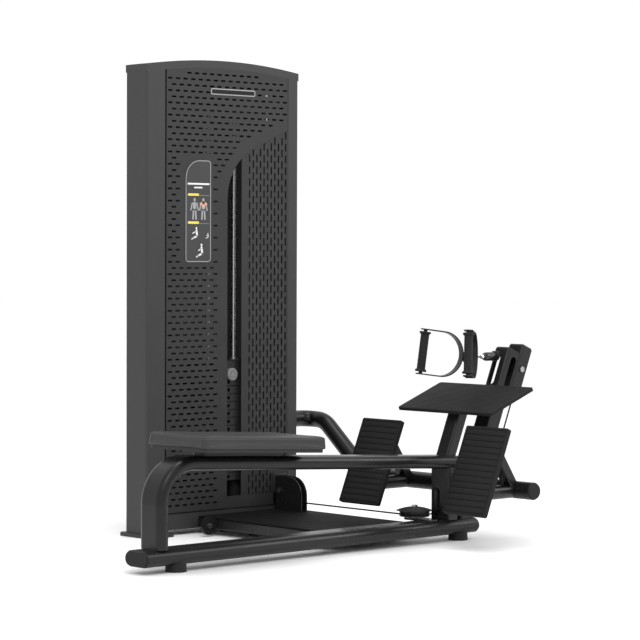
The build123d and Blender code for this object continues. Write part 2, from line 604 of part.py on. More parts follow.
PLACARD = (591.0, 861.0, 695.0, 1182.0)
BADGE = (695.0, 1392.0, 882.0, 1412.0)
PLATE_SIGN_T = 1.5
with BuildPart() as placards:
    with BuildSketch(front_plane):
        for (x0, z0, x1, z1), corner in ((PLACARD, 10), (BADGE, 6)):
            with Locations(((x0 + x1) / 2, (z0 + z1) / 2)):
                RectangleRounded(x1 - x0, z1 - z0, corner)
    extrude(amount=PLATE_SIGN_T)
placards.part.label = "placards"
export_step(placards.part, "parts/placards.step")

# ---- weight stack ----------------------------------------------------------------------------------
rod_spots = ((STACK_X - ROD_SPREAD, STACK_Y), (STACK_X + ROD_SPREAD, STACK_Y))
pitch = PLATE_T + PLATE_GAP
top_plate_z = STACK_Z + (PLATES - 1) * pitch
head_z0 = top_plate_z + PLATE_T
head_z1 = head_z0 + HEAD_PLATE_T
ROD_ROOM, STEM_ROOM, BUSH_T = 1.5, 1.0, 4.0
pin_z = top_plate_z + PLATE_T / 2
PIN_ROOM = 1.0


def weight_plate(z):
    """One plate with its guide holes, stem hole and pin hole, its underside at z."""
    with BuildPart() as one:
        with BuildSketch(Plane(origin=(STACK_X, STACK_Y, z))):
            RectangleRounded(PLATE_W, PLATE_D, 6)
        extrude(amount=PLATE_T)
        chamfer(one.faces().filter_by(Axis.Z).edges(), 1.5)
        with Locations((STACK_X - ROD_SPREAD, STACK_Y, z + PLATE_T),
                       (STACK_X + ROD_SPREAD, STACK_Y, z + PLATE_T)):
            Hole(ROD_R + ROD_ROOM, PLATE_T)
        with Locations((STACK_X, STACK_Y, z + PLATE_T)):
            Hole(STEM_R + STEM_ROOM, PLATE_T)
        with BuildSketch(Plane(origin=(STACK_X, STACK_Y, z + PLATE_T / 2), z_dir=(0, -1, 0))):
            Circle(PIN_R + PIN_ROOM)
        extrude(amount=PLATE_D, mode=Mode.SUBTRACT)
    return one.part


with BuildPart() as weight_plates:
    for i in range(PLATES - 1):
        add(weight_plate(STACK_Z + i * pitch))
weight_plates.part.label = "weight_plates"
export_step(weight_plates.part, "parts/weight_plates.step")

with BuildPart() as top_plate:
    add(weight_plate(top_plate_z))
top_plate.part.label = "top_plate"
export_step(top_plate.part, "parts/top_plate.step")

with BuildPart() as head_plate:
    with BuildSketch(Plane(origin=(STACK_X, STACK_Y, head_z0))):
        RectangleRounded(PLATE_W, PLATE_D, 8)
    extrude(amount=HEAD_PLATE_T)
    chamfer(head_plate.faces().sort_by(Axis.Z)[-1].edges(), 5)
    with Locations(*[(x, y, head_z1) for x, y in rod_spots]):
        Hole(ROD_R + RUN_GAP + BUSH_T, HEAD_PLATE_T)
    with Locations((STACK_X, STACK_Y, head_z1)):
        Hole(STEM_R, HEAD_PLATE_T)
head_plate.part.label = "head_plate"
export_step(head_plate.part, "parts/head_plate.step")

with BuildPart() as head_bushes:
    for x, y in rod_spots:
        with BuildSketch(Plane(origin=(x, y, head_z0))):
            Circle(ROD_R + RUN_GAP + BUSH_T)
            Circle(ROD_R + RUN_GAP, mode=Mode.SUBTRACT)
        extrude(amount=HEAD_PLATE_T)
        with BuildSketch(Plane(origin=(x, y, head_z1))):
            Circle(ROD_R + BUSH_T + 6)
            Circle(ROD_R + RUN_GAP, mode=Mode.SUBTRACT)
        extrude(amount=4)
head_bushes.part.label = "head_bushes"
export_step(head_bushes.part, "parts/head_bushes.step")

stem_z0 = STACK_Z - 10
with BuildPart() as selector_stem:
    with BuildSketch(Plane(origin=(STACK_X, STACK_Y, stem_z0))):
        Circle(STEM_R)
    extrude(amount=head_z1 - stem_z0)
    for i in range(PLATES):
        with BuildSketch(Plane(origin=(STACK_X, STACK_Y, STACK_Z + i * pitch + PLATE_T / 2),
                               z_dir=(0, -1, 0))):
            Circle(PIN_R + RUN_GAP)
        extrude(amount=2 * STEM_R, both=True, mode=Mode.SUBTRACT)
selector_stem.part.label = "selector_stem"
export_step(selector_stem.part, "parts/selector_stem.step")

TERMINAL_R, TERMINAL_H = 11.0, 30.0
with BuildPart() as cable_terminal:
    with BuildSketch(Plane(origin=(STACK_X, STACK_Y, head_z1))):
        Circle(TERMINAL_R)
    extrude(amount=TERMINAL_H)
    chamfer(cable_terminal.edges().sort_by(Axis.Z)[-1], 5)
cable_terminal.part.label = "cable_terminal"
export_step(cable_terminal.part, "parts/cable_terminal.step")

KNOB_R, KNOB_Y0, KNOB_T = 20.5, 636.0, 20.0
PIN_L = 76.0
with BuildPart() as selector_knob:
    with BuildSketch(Plane(origin=(STACK_X, KNOB_Y0 + KNOB_T, pin_z), z_dir=(0, -1, 0))):
        Circle(KNOB_R)
        Circle(PIN_R, mode=Mode.SUBTRACT)
    extrude(amount=KNOB_T)
    fillet(selector_knob.edges().group_by(Axis.Y)[0].sort_by(SortBy.LENGTH)[-1], 4)
selector_knob.part.label = "selector_knob"
export_step(selector_knob.part, "parts/selector_knob.step")

with BuildPart() as selector_pin:
    with BuildSketch(Plane(origin=(STACK_X, KNOB_Y0, pin_z), z_dir=(0, 1, 0))):
        Circle(PIN_R)
    extrude(amount=PIN_L)
    chamfer(selector_pin.edges().sort_by(Axis.Y)[-1], 2)
selector_pin.part.label = "selector_pin"
export_step(selector_pin.part, "parts/selector_pin.step")

with BuildPart() as guide_rods:
    for x, y in rod_spots:
        with BuildSketch(Plane(origin=(x, y, BASE_Z1))):
            Circle(ROD_R)
        extrude(amount=CROSSHEAD_Z + CROSSHEAD_T - BASE_Z1)
guide_rods.part.label = "guide_rods"
export_step(guide_rods.part, "parts/guide_rods.step")

with BuildPart() as rod_buffers:
    for x, y in rod_spots:
        with BuildSketch(Plane(origin=(x, y, BASE_Z1))):
            Circle(24)
            Circle(ROD_R + ROD_ROOM, mode=Mode.SUBTRACT)
        extrude(amount=STACK_Z - BASE_Z1)
    chamfer(rod_buffers.edges().filter_by(GeomType.CIRCLE).group_by(SortBy.LENGTH)[-1], 3)
rod_buffers.part.label = "rod_buffers"
export_step(rod_buffers.part, "parts/rod_buffers.step")

with BuildPart() as crosshead:
    with BuildSketch(Plane(origin=((panel_x0 + panel_x1) / 2, STACK_Y, CROSSHEAD_Z))):
        RectangleRounded(panel_x1 - panel_x0, 76, 3)
    extrude(amount=CROSSHEAD_T)
    with Locations(*[(x, y, CROSSHEAD_Z + CROSSHEAD_T) for x, y in rod_spots]):
        Hole(ROD_R, CROSSHEAD_T)
    with Locations((STACK_X, STACK_Y, CROSSHEAD_Z + CROSSHEAD_T)):
        Hole(9, CROSSHEAD_T)
crosshead.part.label = "crosshead"
export_step(crosshead.part, "parts/crosshead.step")

# ---- pulleys -------------------------------------------------------------------------------------
drop_l = hypot(FLOOR_RUN_X - STACK_X, DROP_Y - STACK_Y)
across = Vector((FLOOR_RUN_X - STACK_X) / drop_l, (DROP_Y - STACK_Y) / drop_l, 0)
up = Vector(0, 0, 1)
stack_top = Vector(STACK_X, STACK_Y, TOP_PULLEY_Z)
top_normal = across.cross(up)
# name, centre, axle's direction, pitch radius, way of the bolt's head
pulleys = (
    ("stack", stack_top + across * PULLEY_R, top_normal, PULLEY_R),
    ("drop", stack_top + across * (drop_l - PULLEY_R), top_normal, PULLEY_R),
    ("low", Vector(FLOOR_RUN_X, DROP_Y - LOW_PULLEY_R, FLOOR_RUN_Z + LOW_PULLEY_R),
     Vector(-1, 0, 0), LOW_PULLEY_R),
    ("spine", Vector(SPINE_PULLEY_X, PULL_Y + PULLEY_R, FLOOR_RUN_Z), up, PULLEY_R),
    ("mast_foot", Vector(*floor_pulley), Vector(0, -1, 0), PULLEY_R),
    ("mast_top", Vector(*top_pulley), Vector(0, -1, 0), PULLEY_R),
)
HUB_R, WEB_T, RIM = 14.0, 8.0, 8.0


def pulley_wheel(centre, normal, radius):
    """Grooved wheel with thinner webs, turning about the normal through its centre."""
    wheel_plane = Plane(origin=centre, z_dir=normal)
    with BuildPart() as wheel:
        with BuildSketch(wheel_plane):
            Circle(radius + FLANGE)
        extrude(amount=PULLEY_W / 2, both=True)
        for face_way in (1, -1):
            with BuildSketch(wheel_plane.offset(face_way * PULLEY_W / 2)):
                Circle(radius - RIM)
                Circle(HUB_R, mode=Mode.SUBTRACT)
            extrude(amount=-face_way * (PULLEY_W - WEB_T) / 2, mode=Mode.SUBTRACT)
        with BuildSketch(wheel_plane):
            Circle(AXLE_R + RUN_GAP)
        extrude(amount=PULLEY_W, both=True, mode=Mode.SUBTRACT)
        with BuildSketch(Plane(origin=centre, x_dir=wheel_plane.x_dir, z_dir=wheel_plane.y_dir)):
            with Locations((radius, 0)):
                Circle(CABLE_R + CLEAR)
                Rectangle(FLANGE + 1, 2 * (CABLE_R + CLEAR), align=(Align.MIN, Align.CENTER))
        revolve(axis=Axis(centre, normal), mode=Mode.SUBTRACT)
    return wheel.part


for name, centre, normal, radius in pulleys:
    with BuildPart() as pulley:
        add(pulley_wheel(centre, normal, radius))
    pulley.part.label = f"pulley_{name}"
    export_step(pulley.part, f"parts/pulley_{name}.step")

# ---- plates that carry the pulleys -----------------------------------------------------------------
cheek_in = PULLEY_W / 2 + CHEEK_GAP
low_centre = pulleys[2][1]
CHEEK_Y0, CHEEK_Z1, CHEEK_R = 515.0, 165.0, 60.0
TOP_CHEEK_L, TOP_CHEEK_START, TOP_CHEEK_OVER = 166.0, 12.0, 18.0
SPINE_PLATE = (60.0, 116.0)
SPINE_PLATE_T = 5.0
FOOT_CHEEK_R = 30.0
with BuildPart() as top_pulley_cheeks:
    plate_z0 = CROSSHEAD_Z + CROSSHEAD_T
    for way in (1, -1):
        start = stack_top + across * TOP_CHEEK_START + top_normal * (way * cheek_in)
        with BuildSketch(Plane(origin=(start.X, start.Y, plate_z0), x_dir=across, z_dir=top_normal)):
            Rectangle(TOP_CHEEK_L, TOP_PULLEY_Z + TOP_CHEEK_OVER - plate_z0,
                      align=(Align.MIN, Align.MIN))
        extrude(amount=way * CHEEK_T)
    for _, centre, normal, _ in pulleys[:2]:
        with BuildSketch(Plane(origin=centre, z_dir=normal)):
            Circle(AXLE_R)
        extrude(amount=60, both=True, mode=Mode.SUBTRACT)

with BuildPart() as low_pulley_cheeks:
    for way in (1, -1):
        with BuildSketch(Plane(origin=(FLOOR_RUN_X + way * cheek_in, 0, 0), x_dir=(0, 1, 0),
                               z_dir=(1, 0, 0))):
            with BuildLine():
                FilletPolyline((CHEEK_Y0, DECK_Z1), (CHEEK_Y0, CHEEK_Z1), (BASE_Y0, CHEEK_Z1),
                               radius=CHEEK_R)
                Polyline((BASE_Y0, CHEEK_Z1), (BASE_Y0, DECK_Z1), (CHEEK_Y0, DECK_Z1))
            make_face()
            with Locations((low_centre.Y, low_centre.Z)):
                Circle(AXLE_R, mode=Mode.SUBTRACT)
        extrude(amount=way * CHEEK_T)

with BuildPart() as spine_pulley_plate:
    with BuildSketch(Plane(origin=(SPINE_PULLEY_X, (PULL_Y + PULLEY_R) / 2, SPINE_TOP))):
        RectangleRounded(*SPINE_PLATE, 24)
        with Locations((0, (PULL_Y + PULLEY_R) / 2)):
            Circle(AXLE_R, mode=Mode.SUBTRACT)
    extrude(amount=SPINE_PLATE_T)

with BuildPart() as mast_foot_cheeks:
    for way in (1, -1):
        with BuildSketch(Plane(origin=(floor_pulley[0], PULL_Y + way * cheek_in, floor_pulley[2]),
                               x_dir=back_dir, z_dir=(0, 1, 0))):
            Circle(FOOT_CHEEK_R)
            with Locations(((MAST_T / 2 - AXLE_BACK) / 2, 0)):
                Rectangle(AXLE_BACK - MAST_T / 2, 2 * FOOT_CHEEK_R)
            Circle(AXLE_R, mode=Mode.SUBTRACT)
        extrude(amount=way * CHEEK_T)
    add(mast_outline.part, mode=Mode.SUBTRACT)

with BuildPart() as pulley_cheeks:
    add(top_pulley_cheeks.part)
    add(low_pulley_cheeks.part)
    add(mast_foot_cheeks.part)
pulley_cheeks.part.label = "pulley_cheeks"
export_step(pulley_cheeks.part, "parts/pulley_cheeks.step")

COVER_R, COVER_H, COVER_T = 57.5, 12.0, 3.0
cover_z = FLOOR_RUN_Z + PULLEY_W / 2 + 2
with BuildPart() as pulley_cover:
    with BuildSketch(Plane(origin=(SPINE_PULLEY_X, PULL_Y + PULLEY_R, cover_z), x_dir=(1, 0, 0),
                           z_dir=(0, -1, 0))):
        with BuildLine():
            dome = ThreePointArc((AXLE_R, COVER_H), (0.62 * COVER_R, 0.62 * COVER_H), (COVER_R, 0))
            hollow = ThreePointArc((COVER_R - COVER_T, 0),
                                   (0.6 * COVER_R, 0.62 * COVER_H - COVER_T + 0.4),
                                   (AXLE_R, COVER_H - COVER_T))
            Line(dome @ 1, hollow @ 0)
            Line(hollow @ 1, dome @ 0)
        make_face()
    revolve(axis=Axis((SPINE_PULLEY_X, PULL_Y + PULLEY_R, 0), (0, 0, 1)))
pulley_cover.part.label = "pulley_cover"
export_step(pulley_cover.part, "parts/pulley_cover.step")

# ---- axle bolts and the other bolts ------------------------------------------------------------
HEX_R, HEX_T, COLLAR_R, COLLAR_GAP = 10.0, 5.0, 10.0, 0.5
grip = cheek_in + CHEEK_T
# for each pulley: how far the head's seat and the nut's seat are from its centre
seats = {
    "stack": (grip, grip), "drop": (grip, grip), "low": (grip, grip), "mast_foot": (grip, grip),
    "mast_top": (PULL_Y + MAST_W / 2, MAST_W / 2 - PULL_Y),
    "spine": (cover_z + COVER_H - FLOOR_RUN_Z, FLOOR_RUN_Z - SPINE_TOP),
}
# the collar that fills the space between a pulley's hub and the wall beside it
collars = {"mast_top": (PULL_Y + MAST_W / 2 - WALL, MAST_W / 2 - WALL - PULL_Y),
           "spine": (cover_z + COVER_H - COVER_T - 1 - FLOOR_RUN_Z,
                     FLOOR_RUN_Z - SPINE_TOP - SPINE_PLATE_T)}
with BuildPart() as pulley_axles:
    for name, centre, normal, _ in pulleys:
        head_seat, nut_seat = seats[name]
        axle_plane = Plane(origin=centre, z_dir=normal)
        with BuildSketch(axle_plane.offset(-nut_seat)):
            Circle(AXLE_R)
        extrude(amount=head_seat + nut_seat)
        with BuildSketch(axle_plane.offset(head_seat)):
            RegularPolygon(HEX_R, 6)
        extrude(amount=HEX_T)
        if name != "spine":
            with BuildSketch(axle_plane.offset(-nut_seat)):
                RegularPolygon(HEX_R, 6)
            extrude(amount=-HEX_T)
        hub = PULLEY_W / 2 + COLLAR_GAP
        for way, reach in zip((1, -1), collars.get(name, (hub, hub))):
            if reach > hub:
                with BuildSketch(axle_plane.offset(way * hub)):
                    Circle(COLLAR_R)
                extrude(amount=way * (reach - hub))
pulley_axles.part.label = "pulley_axles"
export_step(pulley_axles.part, "parts/pulley_axles.step")

LUG_X, LUG_Y, LUG_Z, LUG_R, LUG_T = 618.0, 560.0, 34.0, 29.0, 8.0
with BuildPart() as side_lug:
    with BuildSketch(Plane(origin=(LUG_X, LUG_Y, LUG_Z), x_dir=(1, 0, 0), z_dir=(0, -1, 0))):
        Circle(LUG_R)
        with Locations(((DECK_X0 - LUG_X) / 2, (SPINE_Z + DECK_Z1) / 2 - LUG_Z)):
            Rectangle(DECK_X0 - LUG_X, LUG_R)
        Circle(AXLE_R, mode=Mode.SUBTRACT)
    extrude(amount=LUG_T)

LINK_FLANGE, LINK_BOLTS, LINK_HEX_R, LINK_HEX_T = (90.0, 80.0), (33.0, 28.0), 8.0, 6.0
with BuildPart() as bolts:
    for way_y, way_z in ((-1, -1), (1, -1), (-1, 1), (1, 1)):
        with BuildSketch(Plane(origin=(TOWER_X1 + FLANGE_T, LINK_Y + way_y * LINK_BOLTS[1],
                                       LINK_Z + way_z * LINK_BOLTS[0]), z_dir=(1, 0, 0))):
            RegularPolygon(LINK_HEX_R, 6)
        extrude(amount=LINK_HEX_T)
    lug_bolt = Plane(origin=(LUG_X, LUG_Y - LUG_T, LUG_Z), z_dir=(0, -1, 0))
    with BuildSketch(lug_bolt):
        RegularPolygon(HEX_R, 6)
    extrude(amount=HEX_T)
    with BuildSketch(lug_bolt):
        Circle(AXLE_R)
    extrude(amount=-LUG_T - 10)
bolts.part.label = "bolts"
export_step(bolts.part, "parts/bolts.step")

TRAY_BRACKET = (110.0, 120.0)
tray_bracket_plane = tray_top.offset(-TRAY_T)
with BuildPart() as tray_bracket:
    bracket_x = (POST_FOOT_X + (TRAY_Z0 - rail_z(POST_FOOT_X)) * tan(lean) - TRAY_X0) / cos(tilt)
    with BuildSketch(tray_bracket_plane):
        with Locations((bracket_x - TRAY_L / 2 + 4, 0)):
            RectangleRounded(*TRAY_BRACKET, 10)
    extrude(amount=-TRAY_BRACKET_T)

# plate between the crossbar's upper end and the tower
with BuildPart() as link_flange:
    with BuildSketch(Plane(origin=(TOWER_X1, LINK_Y, LINK_Z), z_dir=(1, 0, 0))):
        RectangleRounded(*LINK_FLANGE, 10)
    extrude(amount=FLANGE_T)

with BuildPart() as brackets:
    add(spine_pulley_plate.part)
    add(side_lug.part)
    add(tray_bracket.part)
    add(link_flange.part)
brackets.part.label = "brackets"
export_step(brackets.part, "parts/brackets.step")

# ---- cable ---------------------------------------------------------------------------------------
down, to_seat, to_feet = Vector(0, 0, -1), Vector(0, -1, 0), Vector(1, 0, 0)
up_lean, pull = Vector(LEAN_X, 0, LEAN_Z), Vector(-1, 0, 0)
directions = (up, across, down, to_seat, to_feet, up_lean, pull)


def wrap_corner(centre, radius, before, after):
    """Where the runs before and after a pulley would meet if the cable didn't go round it."""
    bisector = (after - before).normalized()
    return centre - bisector * (radius / cos(radians(before.get_angle(after)) / 2))


cable_start = Vector(STACK_X, STACK_Y, TOP_PULLEY_Z - 8)
cable_points = [cable_start]
for (_, centre, _, radius), before, after in zip(pulleys, directions, directions[1:]):
    cable_points.append(wrap_corner(centre, radius, before, after))
cable_points.append(Vector(SWIVEL_X1, PULL_Y, PULL_Z))
cable_radii = [radius for _, _, _, radius in pulleys]
with BuildPart() as cable:
    with BuildLine() as cable_line:
        FilletPolyline(*cable_points, radius=cable_radii)
    with BuildSketch(Plane(origin=cable_start, z_dir=up)):
        Circle(CABLE_R)
    sweep()
cable.part.label = "cable"
export_step(cable.part, "parts/cable.step")
cable_length = cable_line.wire().length
print("cable length", round(cable_length), "volume over section times length",
      round(cable.part.volume / (pi * CABLE_R ** 2 * cable_length), 4))

with BuildPart() as lift_cable:
    with BuildSketch(Plane(origin=(STACK_X, STACK_Y, head_z1 + TERMINAL_H))):
        Circle(CABLE_R)
    extrude(amount=cable_start.Z - head_z1 - TERMINAL_H)
lift_cable.part.label = "lift_cable"
export_step(lift_cable.part, "parts/lift_cable.step")

# rubber stop that the swivel rests against, on the mast's front
STOP_R, STOP_HOLE_R, STOP_L = 17.0, 6.0, 40.0
with BuildPart() as cable_stop:
    with BuildSketch(Plane(origin=(SWIVEL_X1 + 0.5, PULL_Y, PULL_Z), z_dir=to_feet)):
        Circle(STOP_R)
        Circle(STOP_HOLE_R, mode=Mode.SUBTRACT)
    extrude(amount=STOP_L)
    add(mast_outline.part, mode=Mode.SUBTRACT)
cable_stop.part.label = "cable_stop"
export_step(cable_stop.part, "parts/cable_stop.step")

# ---- swivel, yoke and handles ----------------------------------------------------------------------
pull_axis = Axis((0, PULL_Y, PULL_Z), (1, 0, 0))
ball_x = SWIVEL_X0 - 2
side_plane = Plane(origin=(0, PULL_Y, PULL_Z), x_dir=(1, 0, 0), z_dir=(0, -1, 0))
with BuildPart() as swivel:
    with BuildSketch(side_plane):
        with BuildLine():
            nose = ThreePointArc((SWIVEL_X0, BALL_R), (SWIVEL_X0 + 8, 12.2), (SWIVEL_X0 + 20, SWIVEL_R))
            Polyline(nose @ 1, (SWIVEL_X1, SWIVEL_R), (SWIVEL_X1, 0), (SWIVEL_X0, 0), nose @ 0)
        make_face()
    revolve(axis=pull_axis)
    with BuildSketch(side_plane):
        with BuildLine():
            CenterArc((ball_x, 0), BALL_R + 0.1, 0, 180)
            Line((ball_x - BALL_R - 0.1, 0), (ball_x + BALL_R + 0.1, 0))
        make_face()
    revolve(axis=pull_axis, mode=Mode.SUBTRACT)

with BuildPart() as swivel_ball:
    with BuildSketch(side_plane):
        with BuildLine():
            CenterArc((ball_x, 0), BALL_R, 0, 180)
            Line((ball_x - BALL_R, 0), (ball_x + BALL_R, 0))
        make_face()
    revolve(axis=pull_axis)

with BuildPart() as swivel_group:
    add(swivel.part)
    add(swivel_ball.part)
swivel_group.part.label = "swivel"
export_step(swivel_group.part, "parts/swivel.step")

with BuildPart() as handle_cable:
    with BuildSketch(Plane(origin=(YOKE_X + YOKE_W / 2, PULL_Y, PULL_Z), z_dir=to_feet)):
        Circle(CABLE_R)
    extrude(amount=ball_x - BALL_R - CLEAR - YOKE_X - YOKE_W / 2)
handle_cable.part.label = "handle_cable"
export_step(handle_cable.part, "parts/handle_cable.step")

LUG_GAP, EYE_R, EYE_T, NECK_W = 0.4, 7.5, 10.0, 12.0
with BuildPart() as yoke:
    with BuildSketch(Plane(origin=(YOKE_X, PULL_Y, PULL_Z - YOKE_H / 2))):
        SlotCenterToCenter(2 * PIVOT_SPREAD, YOKE_W, rotation=90)
        with GridLocations(0, 2 * PIVOT_SPREAD, 1, 2):
            Circle(PIVOT_R, mode=Mode.SUBTRACT)
    extrude(amount=YOKE_H)
    for way in (1, -1):
        with BuildSketch(Plane(origin=(YOKE_X, PULL_Y + way * PIVOT_SPREAD, PULL_Z))):
            with Locations((0, way * (20 - EYE_R - 1.5))):
                Rectangle(40, 40)
        extrude(amount=EYE_T / 2 + LUG_GAP, both=True, mode=Mode.SUBTRACT)
yoke.part.label = "yoke"
export_step(yoke.part, "parts/yoke.step")

with BuildPart() as yoke_pins:
    for way in (1, -1):
        with BuildSketch(Plane(origin=(YOKE_X, PULL_Y + way * PIVOT_SPREAD, PULL_Z))):
            Circle(PIVOT_R)
        extrude(amount=YOKE_H / 2, both=True)
        for end in (1, -1):
            with BuildSketch(Plane(origin=(YOKE_X, PULL_Y + way * PIVOT_SPREAD,
                                           PULL_Z + end * YOKE_H / 2))):
                Circle(PIVOT_R + 2.5)
            extrude(amount=end * 3)
yoke_pins.part.label = "yoke_pins"
export_step(yoke_pins.part, "parts/yoke_pins.step")

GRIP_ROD_R, END_DISC_R = 6.0, 15.0
for side, way, splay in HANDLES:
    pivot = Vector(YOKE_X, PULL_Y + way * PIVOT_SPREAD, PULL_Z)
    level = Vector(-cos(radians(splay)), way * sin(radians(splay)), 0)
    reach_dir = level * cos(radians(HANDLE_TILT)) + up * sin(radians(HANDLE_TILT))
    grip_dir = up * cos(radians(HANDLE_TILT)) - level * sin(radians(HANDLE_TILT))
    handle_plane = Plane(origin=pivot, x_dir=reach_dir, z_dir=reach_dir.cross(grip_dir))
    half_t = STRAP_T / 2
    with BuildPart() as handle_strap:
        with BuildSketch(handle_plane):
            with BuildLine():
                for radius in (HANDLE_R + half_t, HANDLE_R - half_t):
                    bend = ThreePointArc((STRAP_BACK + HANDLE_R, radius),
                                         (STRAP_BACK + HANDLE_R - radius, 0),
                                         (STRAP_BACK + HANDLE_R, -radius))
                    Line((HANDLE_REACH, radius), bend @ 0)
                    Line(bend @ 1, (HANDLE_REACH, -radius))
                for end in (1, -1):
                    Line((HANDLE_REACH, end * (HANDLE_R + half_t)),
                     (HANDLE_REACH, end * (HANDLE_R - half_t)))
            make_face()
        extrude(amount=STRAP_W / 2, both=True)
        grip_centre = pivot + reach_dir * HANDLE_REACH
        for end in (1, -1):
            with BuildSketch(Plane(origin=grip_centre + grip_dir * (end * (HANDLE_R - half_t)),
                                   x_dir=reach_dir, z_dir=grip_dir)):
                Circle(END_DISC_R)
            extrude(amount=end * STRAP_T)
        with BuildSketch(Plane(origin=grip_centre, x_dir=reach_dir, z_dir=grip_dir)):
            Circle(GRIP_ROD_R)
        extrude(amount=HANDLE_R - half_t, both=True)
        with BuildSketch(Plane(origin=pivot, x_dir=level, z_dir=up)):
            Circle(EYE_R)
            with Locations(((STRAP_BACK + 1) / 2, 0)):
                Rectangle(STRAP_BACK + 1, NECK_W)
            Circle(PIVOT_R + RUN_GAP, mode=Mode.SUBTRACT)
        extrude(amount=EYE_T / 2, both=True)
    handle_strap.part.label = f"handle_strap_{side}"
    export_step(handle_strap.part, f"parts/handle_strap_{side}.step")

    with BuildPart() as handle_grip:
        with BuildSketch(Plane(origin=grip_centre, x_dir=reach_dir, z_dir=grip_dir)):
            Circle(GRIP_R)
            Circle(GRIP_ROD_R + RUN_GAP, mode=Mode.SUBTRACT)
        extrude(amount=GRIP_L / 2, both=True)
        for end in (1, -1):
            with BuildSketch(Plane(origin=grip_centre + grip_dir * (end * GRIP_L / 2),
                                   x_dir=reach_dir, z_dir=grip_dir)):
                Circle(GRIP_FLANGE_R)
                Circle(GRIP_ROD_R + RUN_GAP, mode=Mode.SUBTRACT)
            extrude(amount=end * GRIP_FLANGE_T)
    handle_grip.part.label = f"handle_grip_{side}"
    export_step(handle_grip.part, f"parts/handle_grip_{side}.step")
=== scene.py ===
"""Looks of a seated cable row machine: materials, upholstery, perforated panels, signs, light and camera.

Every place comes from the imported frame, in metres, with +X along the rail towards the foot end,
+Y towards the weight tower and +Z up.
"""
import bpy
import bmesh
import json
from math import atan2, cos, hypot, pi, radians, sin, sqrt, tan
from mathutils import Matrix, Vector
from mathutils.bvhtree import BVHTree


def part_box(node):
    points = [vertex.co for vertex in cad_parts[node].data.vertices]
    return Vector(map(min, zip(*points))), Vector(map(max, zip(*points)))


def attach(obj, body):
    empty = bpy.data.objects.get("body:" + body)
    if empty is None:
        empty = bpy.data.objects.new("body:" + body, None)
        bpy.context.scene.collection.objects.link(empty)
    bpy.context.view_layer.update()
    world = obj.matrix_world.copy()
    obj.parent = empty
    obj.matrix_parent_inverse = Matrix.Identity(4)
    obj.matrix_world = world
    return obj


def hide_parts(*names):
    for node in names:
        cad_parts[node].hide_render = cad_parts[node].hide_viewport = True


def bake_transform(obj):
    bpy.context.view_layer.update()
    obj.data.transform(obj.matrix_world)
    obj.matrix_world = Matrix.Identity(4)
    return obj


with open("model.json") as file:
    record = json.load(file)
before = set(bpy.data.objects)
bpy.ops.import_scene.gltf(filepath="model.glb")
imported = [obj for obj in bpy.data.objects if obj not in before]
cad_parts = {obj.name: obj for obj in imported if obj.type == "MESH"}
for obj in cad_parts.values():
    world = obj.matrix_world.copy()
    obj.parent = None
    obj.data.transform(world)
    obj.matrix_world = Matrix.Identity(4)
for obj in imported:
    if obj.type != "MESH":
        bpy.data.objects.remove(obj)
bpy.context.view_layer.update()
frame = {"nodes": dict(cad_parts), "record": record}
nodes = frame["nodes"]
scene = bpy.context.scene
UP = Vector((0, 0, 1))


# ---- camera ------------------------------------------------------------------------------------
CAMERA_AT = Vector((-4.378, -5.292, 0.9025))
CAMERA_HEADING = (0.683, 0.730)
CAMERA_PITCH_DOWN, CAMERA_ROLL = radians(1.65), radians(0.2)
CAMERA_LENS, CAMERA_SENSOR = 138.1, 36.0


def make_camera():
    """A long lens from the seat end, a little above the tower's middle."""
    length = hypot(*CAMERA_HEADING)
    hx, hy = CAMERA_HEADING[0] / length, CAMERA_HEADING[1] / length
    p, r = CAMERA_PITCH_DOWN, CAMERA_ROLL
    ahead = Vector((hx * cos(p), hy * cos(p), -sin(p)))
    level = Vector((hy, -hx, 0))
    above = Vector((hx * sin(p), hy * sin(p), cos(p)))
    right = level * cos(r) + above * sin(r)
    up = above * cos(r) - level * sin(r)
    data = bpy.data.cameras.new("camera")
    data.lens, data.sensor_width = CAMERA_LENS, CAMERA_SENSOR
    data.clip_end = 60
    camera = bpy.data.objects.new("camera", data)
    scene.collection.objects.link(camera)
    turn = Matrix((right, up, -ahead)).transposed().to_4x4()
    camera.matrix_world = Matrix.Translation(CAMERA_AT) @ turn
    scene.camera = camera


# ---- materials ---------------------------------------------------------------------------------
def add_node(tree, kind, **values):
    """A shader node with some of its inputs or properties set."""
    node = tree.nodes.new(kind)
    for name, value in values.items():
        socket = name.replace("_", " ").title()
        if socket in node.inputs:
            node.inputs[socket].default_value = value
        else:
            setattr(node, name, value)
    return node


def shaded(colour, share):
    """The colour made lighter or darker by a share."""
    return tuple(min(1.0, c * (1 + share)) for c in colour) + (1.0,)


